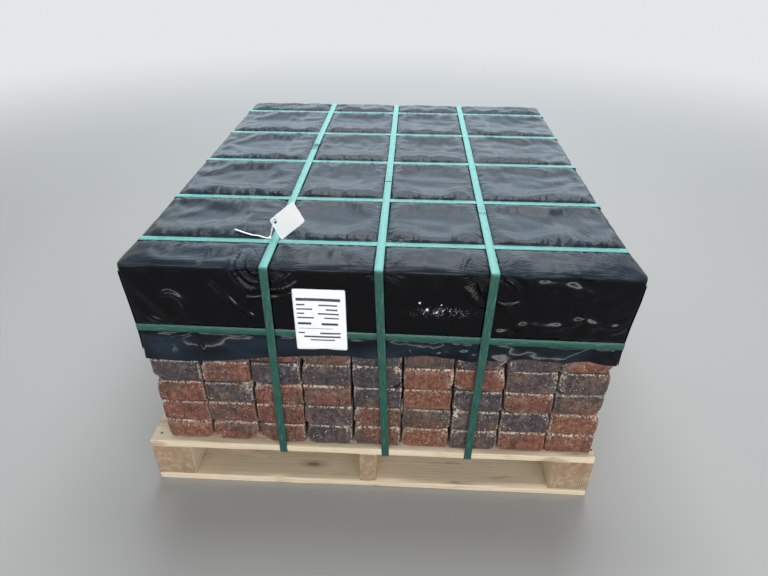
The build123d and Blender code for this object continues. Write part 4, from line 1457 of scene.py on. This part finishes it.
def dress_cover(film, piece):
    """Stores on the film what its finish needs: where it faces up or lies on the top edge, and so holds dust
    and a painted sky sheen; where the hem holds the same; how near a strap is, whose ripples run away from
    it; a place round and out from the nearest corner, for the ripples that fan from there; and where mud has
    splashed."""
    points, normals = mesh_points(piece.data), mesh_normals(piece.data)
    high = smooth_step(points[:, 2], film.top - 0.009, film.top - 0.001)
    # Dust and a painted sky sheen where the film faces up or lies on the top edge
    upward = smooth_step(normals[:, 2], 0.45, 0.95) * (0.5 + 0.5 * high)
    add_values(piece, "upward", np.maximum(upward, high))
    # Below the belt: dust and a painted sheen, lighter as if the flared hem caught the sky
    hem = smooth_step(film.belt[0] - points[:, 2], -0.004, 0.010)
    clouds = waves(points, 0.09, 8, np.random.default_rng(9))
    add_values(piece, "hem_dust_and_sheen", np.clip(hem * (0.7 + 0.4 * clouds), 0, 1))
    rim = bell(np.abs(points[:, 1]), STACK_HALF[1], 0.03) * high
    cross, long, _ = film.gaps(points)
    add_values(piece, "near_cross", beside(cross, 0.030, 0.003))
    add_values(piece, "near_long", (0.15 + 0.85 * high + rim) * beside(long, 0.030, 0.003))
    side = np.sign(points[:, :2] - CENTRE)
    radius, angle = from_corner(points, side)
    corner = side[:, 0] + 2 * side[:, 1]
    add_values(piece, "fan", np.stack([22 * angle, 9 * radius, 7 * corner], -1))
    share = np.select([corner == -1, corner == -3], [1.0, 0.5], 0.6)
    add_values(piece, "fan_share", share * high * bell(radius, 0.09, 0.09))
    bends = np.array([top for top, _ in film.long])
    nearest = np.abs(points[:, :1] - bends).argmin(1)
    aside = points[:, 0] - bends[nearest]
    above = points[:, 2] - film.top + np.maximum(STACK_HALF[1] - np.abs(points[:, 1]), 0)
    radius, angle = np.hypot(aside, above), np.arctan2(aside, above)
    add_values(piece, "bend_fan", np.stack([13 * angle, 14 * radius, nearest + 5 * side[:, 1]], -1))
    share = np.array([0.9, 0.5, 1.0])[nearest] * (0.4 + 0.6 * high)
    add_values(piece, "bend_fan_share", share * bell(radius, 0.034, 0.032))
    splash = bell(points[:, 0], 0.134, 0.036) * bell(points[:, 2], 0.500, 0.007)
    add_values(piece, "splash", splash * (points[:, 1] < -STACK_HALF[1]))


LABEL_BARS = (
    # left, right, top and bottom, as shares of the label's width and height
    (0.06, 0.90, 0.140, 0.185), (0.06, 0.22, 0.235, 0.258), (0.48, 0.84, 0.240, 0.262),
    (0.06, 0.36, 0.305, 0.328), (0.62, 0.84, 0.310, 0.334), (0.06, 0.20, 0.375, 0.396),
    (0.46, 0.86, 0.378, 0.402), (0.06, 0.38, 0.445, 0.468), (0.58, 0.86, 0.448, 0.470),
    (0.06, 0.32, 0.535, 0.572), (0.52, 0.84, 0.540, 0.578), (0.06, 0.74, 0.632, 0.640),
    (0.06, 0.18, 0.700, 0.724), (0.48, 0.88, 0.702, 0.728), (0.16, 0.88, 0.762, 0.790),
    (0.28, 0.76, 0.822, 0.842),
)


def label_piece(material):
    """Label: a grid whose outline is a rounded rectangle, with plain bars as quads just before it. Its face
    lies where the CAD label does, bent by shallow waves: y = y0 + (y1 - y0) z/height - out - waves."""
    low, high = corners("label")
    width, height = high[0] - low[0], high[2] - low[2]
    columns, rows, radius = 24, 34, 0.003
    x, z = np.meshgrid(np.linspace(-0.5, 0.5, columns + 1) * width, np.linspace(-0.5, 0.5, rows + 1) * height,
                       indexing="ij")
    corner_x = beyond(np.abs(x), 0, width / 2 - radius)
    corner_z = beyond(np.abs(z), 0, height / 2 - radius)
    reach = np.hypot(corner_x, corner_z)
    pull = np.where((corner_x > 0) & (corner_z > 0), np.minimum(1, radius / np.maximum(reach, 1e-9)), 1.0)
    x = np.sign(x) * (np.abs(x) - corner_x * (1 - pull))
    z = np.sign(z) * (np.abs(z) - corner_z * (1 - pull))

    paper = 0.0006

    def surface(x, z, out):
        place = np.stack([x, np.zeros_like(x), z], -1)
        lift = waves(place, 0.09, 6, np.random.default_rng(5)) * 0.0006
        lean = (low[1] - high[1] + paper) * (z / height + 0.5)
        y = high[1] - 2 * paper + lean - out - lift
        return np.stack([x + (low[0] + high[0]) / 2, y, z + (low[2] + high[2]) / 2], -1)

    front = surface(x, z, 0.0003).reshape(-1, 3)
    back = surface(x, z, 0.0).reshape(-1, 3)
    numbers = np.arange(front.shape[0]).reshape(columns + 1, rows + 1)
    quad = grid_quads(numbers)
    rim = np.concatenate([numbers[:, 0], numbers[-1, 1:], numbers[-2::-1, -1], numbers[0, -2:0:-1]])
    ahead = np.roll(rim, -1)
    offset = len(front)
    side = np.stack([rim, rim + offset, ahead + offset, ahead], -1)
    points, faces = [front, back], [quad, quad[:, ::-1] + offset, side]
    ink = [np.zeros(2 * offset)]
    start = 2 * offset
    for left, right, top, bottom in LABEL_BARS:
        bar_x, bar_z = np.meshgrid(np.linspace(left - 0.5, right - 0.5, 7) * width,
                                   np.linspace(0.5 - bottom, 0.5 - top, 3) * height, indexing="ij")
        points.append(surface(bar_x, bar_z, 0.0004).reshape(-1, 3))
        cell = np.arange(bar_x.size).reshape(bar_x.shape) + start
        faces.append(grid_quads(cell))
        ink.append(np.ones(bar_x.size))
        start += bar_x.size
    piece = new_piece("printed_label", np.concatenate(points), faces, material, ["label"])
    add_values(piece, "ink", np.concatenate(ink))
    return piece


def film_height(places):
    """Height of the film's top over the given places (n, 2): that of its nearest point."""
    points = mesh_points(bpy.data.objects["film_cover"].data)
    reach = np.abs(places).max(0) + 0.05
    points = points[(points[:, 2] > STACK_HIGH[2]) & (np.abs(points[:, :2]) < reach).all(1)]
    return points[((points[None, :, :2] - places[:, None]) ** 2).sum(-1).argmin(1), 2]


def tie_piece(material):
    """Cable tie: a band round the strap, drawn in to the tag's hole, a head at its left, and a tail that
    lies on the film and lifts at its end."""
    base = corners("cover")[1][2]
    along = np.array([math.cos(TIE_TURN), math.sin(TIE_TURN)])
    across = sizes().strap_width / 2 / along[0] + 0.0028
    corner_points = [(-across, 0, 0.0013), (across, 0, 0.0013), (across, 0, 0.0027), (0.0025, 0, 0.0351),
                     (-0.0025, 0, 0.0351), (-across, 0, 0.0027)]
    route = rounded_route(corner_points, [0.0006] * 6, 0.004)
    frame_across, outward = band_frame(route, 1)
    loop, faces, _ = ribbon(route, frame_across, TIE_WIDTH, TIE_THICKNESS, outward)
    spin = np.array([[*along, 0], [-along[1], along[0], 0], [0, 0, 1]])
    foot = TIE_PLACE - (across + TIE_THICKNESS) * along
    half, edge = 0.0025, 0.0007
    box, box_faces, _ = lattice(*[edge_lines(half, edge, 2)] * 3)
    head = round_box(box, half, edge)[0] + [*foot, base + half + 0.0001]
    path = curve_through([foot, foot + [-0.020, 0.0015], foot + [-0.038, 0.004], foot + [-0.072, 0.014]], 6)
    share = np.linspace(0, 1, len(path))
    lying = np.maximum(film_height(path) + 0.0004, base + 0.0001)
    height = np.interp(share, [0, 0.12, 1], [1, 0, 0])
    level = lying * (1 - height) + (base + 0.0014) * height + 0.004 * share ** 3
    level = np.convolve(np.pad(level, 2, mode="edge"), np.full(5, 0.2), mode="valid")
    route = np.column_stack([path, np.maximum(level, lying - 0.0003)])
    ahead = np.gradient(route, axis=0)
    flat = unit(np.cross([0, 0, 1], ahead))
    up = unit(np.cross(ahead, flat))
    tail, tail_faces, _ = ribbon(route, flat, TIE_WIDTH, TIE_THICKNESS, up, closed=False)
    points = [loop @ spin + [*TIE_PLACE, base], head, tail]
    start = len(loop)
    faces = faces + [box_faces + start] + [group + start + len(head) for group in tail_faces]
    return new_piece("cable_tie", np.concatenate(points), faces, material, ["tag_tie"])


LAMPS = (
    # name, place, point it faces, width and height, watts and colour
    ("overhead", (0.2, 1.2, 3.4), (0.0, 0.0, 0.4), (2.4, 2.4), 110, (1.0, 1.0, 1.0)),
    ("back_softbox", (0.0, 4.5, 2.5), (0.0, 0.0, 0.5), (6.4, 3.2), 124, (0.68, 0.86, 1.0)),
    ("front_softbox", (0.6, -3.7, 1.75), (0.3, -0.5, 0.45), (6.4, 0.7), 16, (1.0, 1.0, 1.0)),
    ("front_strip", (0.6, -3.7, 1.20), (0.3, -0.5, 0.45), (6.4, 0.32), 106, (1.0, 1.0, 1.0)),
)


def stage():
    """Pale floor that fades into a plain background, soft light from above, behind and in front, and the
    camera at the photograph's place."""
    scene = bpy.context.scene
    mesh = bpy.data.meshes.new("floor")
    far = 40
    mesh.from_pydata([(-far, -far, 0), (far, -far, 0), (far, far, 0), (-far, far, 0)], [], [(0, 1, 2, 3)])
    floor = bpy.data.objects.new("floor", mesh)
    scene.collection.objects.link(floor)
    pale = (0.78, 0.80, 0.81)
    look = Finish("pale floor", 0.9, 0.1)
    look.finish((0.46, 0.46, 0.45))
    glow = look.add("Emission", {"Color": pale, "Strength": 1.0}).outputs[0]
    share = look.product(look.between(look.distance(look.object_place()), 1.5, 5.0), look.seen())
    look.blend("Material Output", share, look.shader.outputs[0], glow)
    mesh.materials.append(look.material)
    world = bpy.data.worlds.new("pale room")
    scene.world = world
    world.use_nodes = True
    room = Nodes(world.node_tree)
    backdrop = room.add("Background", {"Color": pale, "Strength": 0.95}).outputs[0]
    light = room.tree.nodes["Background"]
    room.plug(light.inputs["Color"], (0.90, 0.95, 1.0))
    room.plug(light.inputs["Strength"], 0.24)
    room.blend("World Output", room.seen(), light.outputs[0], backdrop)
    for lamp in LAMPS:
        add_light(*lamp)
    add_camera()
    scene.view_settings.view_transform = "Standard"


def add_light(name, place, target, extent, power, tint):
    """Soft rectangular lamp that no camera sees."""
    data = bpy.data.lights.new(name, "AREA")
    data.color, data.energy = tint, power
    data.shape = "RECTANGLE"
    data.size, data.size_y = extent
    lamp = bpy.data.objects.new(name, data)
    lamp.visible_camera = False
    bpy.context.scene.collection.objects.link(lamp)
    aim(lamp, np.array(place, float), np.array(target, float) - place, 0.0)


def aim(thing, place, direction, roll):
    """Places a lamp or camera, looking along direction, level but for roll in radians."""
    back = -unit(direction)
    right = unit(np.cross([0, 0, 1], back))
    up = np.cross(back, right)
    right, up = right * math.cos(roll) + up * math.sin(roll), up * math.cos(roll) - right * math.sin(roll)
    matrix = np.eye(4)
    matrix[:3, 0], matrix[:3, 1], matrix[:3, 2], matrix[:3, 3] = right, up, back, place
    thing.matrix_world = Matrix(matrix.tolist())


def add_camera():
    """Camera fitted to the photograph, with focal length and width of the frame in pixels."""
    focal, frame_width = 573.0, 768
    data = bpy.data.cameras.new("camera")
    data.sensor_width = 36.0
    data.lens = focal / frame_width * data.sensor_width
    data.clip_end = 100.0
    camera = bpy.data.objects.new("camera", data)
    bpy.context.scene.collection.objects.link(camera)
    pitch, yaw = math.radians(32.79), math.radians(2.57)
    level = math.cos(pitch)
    direction = np.array([-math.sin(yaw) * level, math.cos(yaw) * level, -math.sin(pitch)])
    aim(camera, np.array([0.0692, -1.4162, 1.1130]), direction, math.radians(0.32))
    bpy.context.scene.camera = camera


def give_material(node, material):
    """Puts a material on a CAD node that stays as it is."""
    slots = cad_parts[node].data.materials
    slots.clear()
    slots.append(material)


class PAVING_OT_pavers(bpy.types.Operator):
    """Make the tumbled stones that show, and finish the hidden ones"""
    bl_idname = "paving.pavers"
    bl_label = "Pavers"

    def execute(self, context):
        material = paver_finish()
        for number in range(1, SHOWN_LAYERS + 1):
            paver_layer(number, material)
        for number in HIDDEN_LAYERS:
            give_material(f"paver_layer_{number}", material)
        give_material("paver_core", material)
        return {"FINISHED"}


class PAVING_OT_pallet(bpy.types.Operator):
    """Make the pallet's stringers, boards and nails"""
    bl_idname = "paving.pallet"
    bl_label = "Pallet"

    def execute(self, context):
        rng = np.random.default_rng(21)
        stringer_wood = wood_finish("stringer wood", 0.25)
        board_wood = wood_finish("board wood", 0.1)
        for side in ("left", "centre", "right"):
            node = f"stringer_{side}"
            timber(f"sawn_{node}", node, 1, stringer_wood, rng)
        for number in range(1, 8):
            node = f"deck_board_{number}"
            timber(f"sawn_{node}", node, 0, board_wood, rng)
        for number in range(1, 6):
            node = f"bottom_board_{number}"
            timber(f"sawn_{node}", node, 0, board_wood, rng, wane=0.5)
        nails(steel_finish())
        return {"FINISHED"}


class PAVING_OT_cover(bpy.types.Operator):
    """Make the black film over the stones"""
    bl_idname = "paving.cover"
    bl_label = "Cover"

    def execute(self, context):
        make_cover(film_finish())
        return {"FINISHED"}


class PAVING_OT_straps(bpy.types.Operator):
    """Make the straps across, along and round the load"""
    bl_idname = "paving.straps"
    bl_label = "Straps"

    def execute(self, context):
        rng = np.random.default_rng(11)
        material = strap_finish()
        for number, node in enumerate(CROSS_STRAPS, 1):
            route = cross_strap_route(node)
            low = corners(node)[0]
            weld = np.array([low[0], sum(strap_ends(node)[:2]) / 2, DECK_Z + 0.18])
            strap_piece(f"cross_strapping_{number}", node, route, 1, material, weld, HIDDEN_WELD_MARK, rng)
        for number, (node, (weld_y, mark)) in enumerate(zip(LONG_STRAPS, LONG_WELDS), 1):
            route = long_strap_route(node)
            weld = np.array([strap_ends(node)[0], weld_y, corners(node)[1][2]])
            strap_piece(f"long_strapping_{number}", node, route, 0, material, weld, mark, rng)
        low, high = corners("strap_belt")
        weld = np.array([(low[0] + high[0]) / 2, high[1], (low[2] + high[2]) / 2])
        strap_piece("belt_strapping", "strap_belt", belt_route(), 2, material, weld, HIDDEN_WELD_MARK, rng)
        return {"FINISHED"}


class PAVING_OT_label(bpy.types.Operator):
    """Make the label on the front"""
    bl_idname = "paving.label"
    bl_label = "Label"

    def execute(self, context):
        label_piece(paper_finish("label paper", 0.45))
        return {"FINISHED"}


class PAVING_OT_tag(bpy.types.Operator):
    """Finish the tag and its tie"""
    bl_idname = "paving.tag"
    bl_label = "Tag and tie"

    def execute(self, context):
        give_material("tag", paper_finish("tag card", 0.4))
        tie_piece(tie_finish())
        return {"FINISHED"}


class PAVING_OT_stage(bpy.types.Operator):
    """Make the floor, the light and the camera"""
    bl_idname = "paving.stage"
    bl_label = "Stage"

    def execute(self, context):
        stage()
        return {"FINISHED"}


STEPS = (PAVING_OT_pavers, PAVING_OT_pallet, PAVING_OT_cover, PAVING_OT_straps, PAVING_OT_label,
         PAVING_OT_tag, PAVING_OT_stage)


class PAVING_PT_panel(bpy.types.Panel):
    """Lists the pieces of the load"""
    bl_idname = "PAVING_PT_panel"
    bl_label = "Pallet of paving stones"
    bl_space_type = "VIEW_3D"
    bl_region_type = "UI"
    bl_category = "Paving"

    def draw(self, context):
        for step in STEPS:
            self.layout.operator(step.bl_idname)
        for group in (context.scene.paving_sizes, context.scene.paving_colours):
            for name in group.__annotations__:
                self.layout.prop(group, name)


CLASSES = (LoadSizes, LoadColours, *STEPS, PAVING_PT_panel)


def register():
    for item in CLASSES:
        bpy.utils.register_class(item)
    bpy.types.Scene.paving_sizes = PointerProperty(type=LoadSizes)
    bpy.types.Scene.paving_colours = PointerProperty(type=LoadColours)


def unregister():
    del bpy.types.Scene.paving_colours
    del bpy.types.Scene.paving_sizes
    for item in reversed(CLASSES):
        bpy.utils.unregister_class(item)


def main():
    register()
    bpy.ops.paving.pavers()
    bpy.ops.paving.pallet()
    bpy.ops.paving.cover()
    bpy.ops.paving.straps()
    bpy.ops.paving.label()
    bpy.ops.paving.tag()
    bpy.ops.paving.stage()


if __name__ == "__main__":
    main()
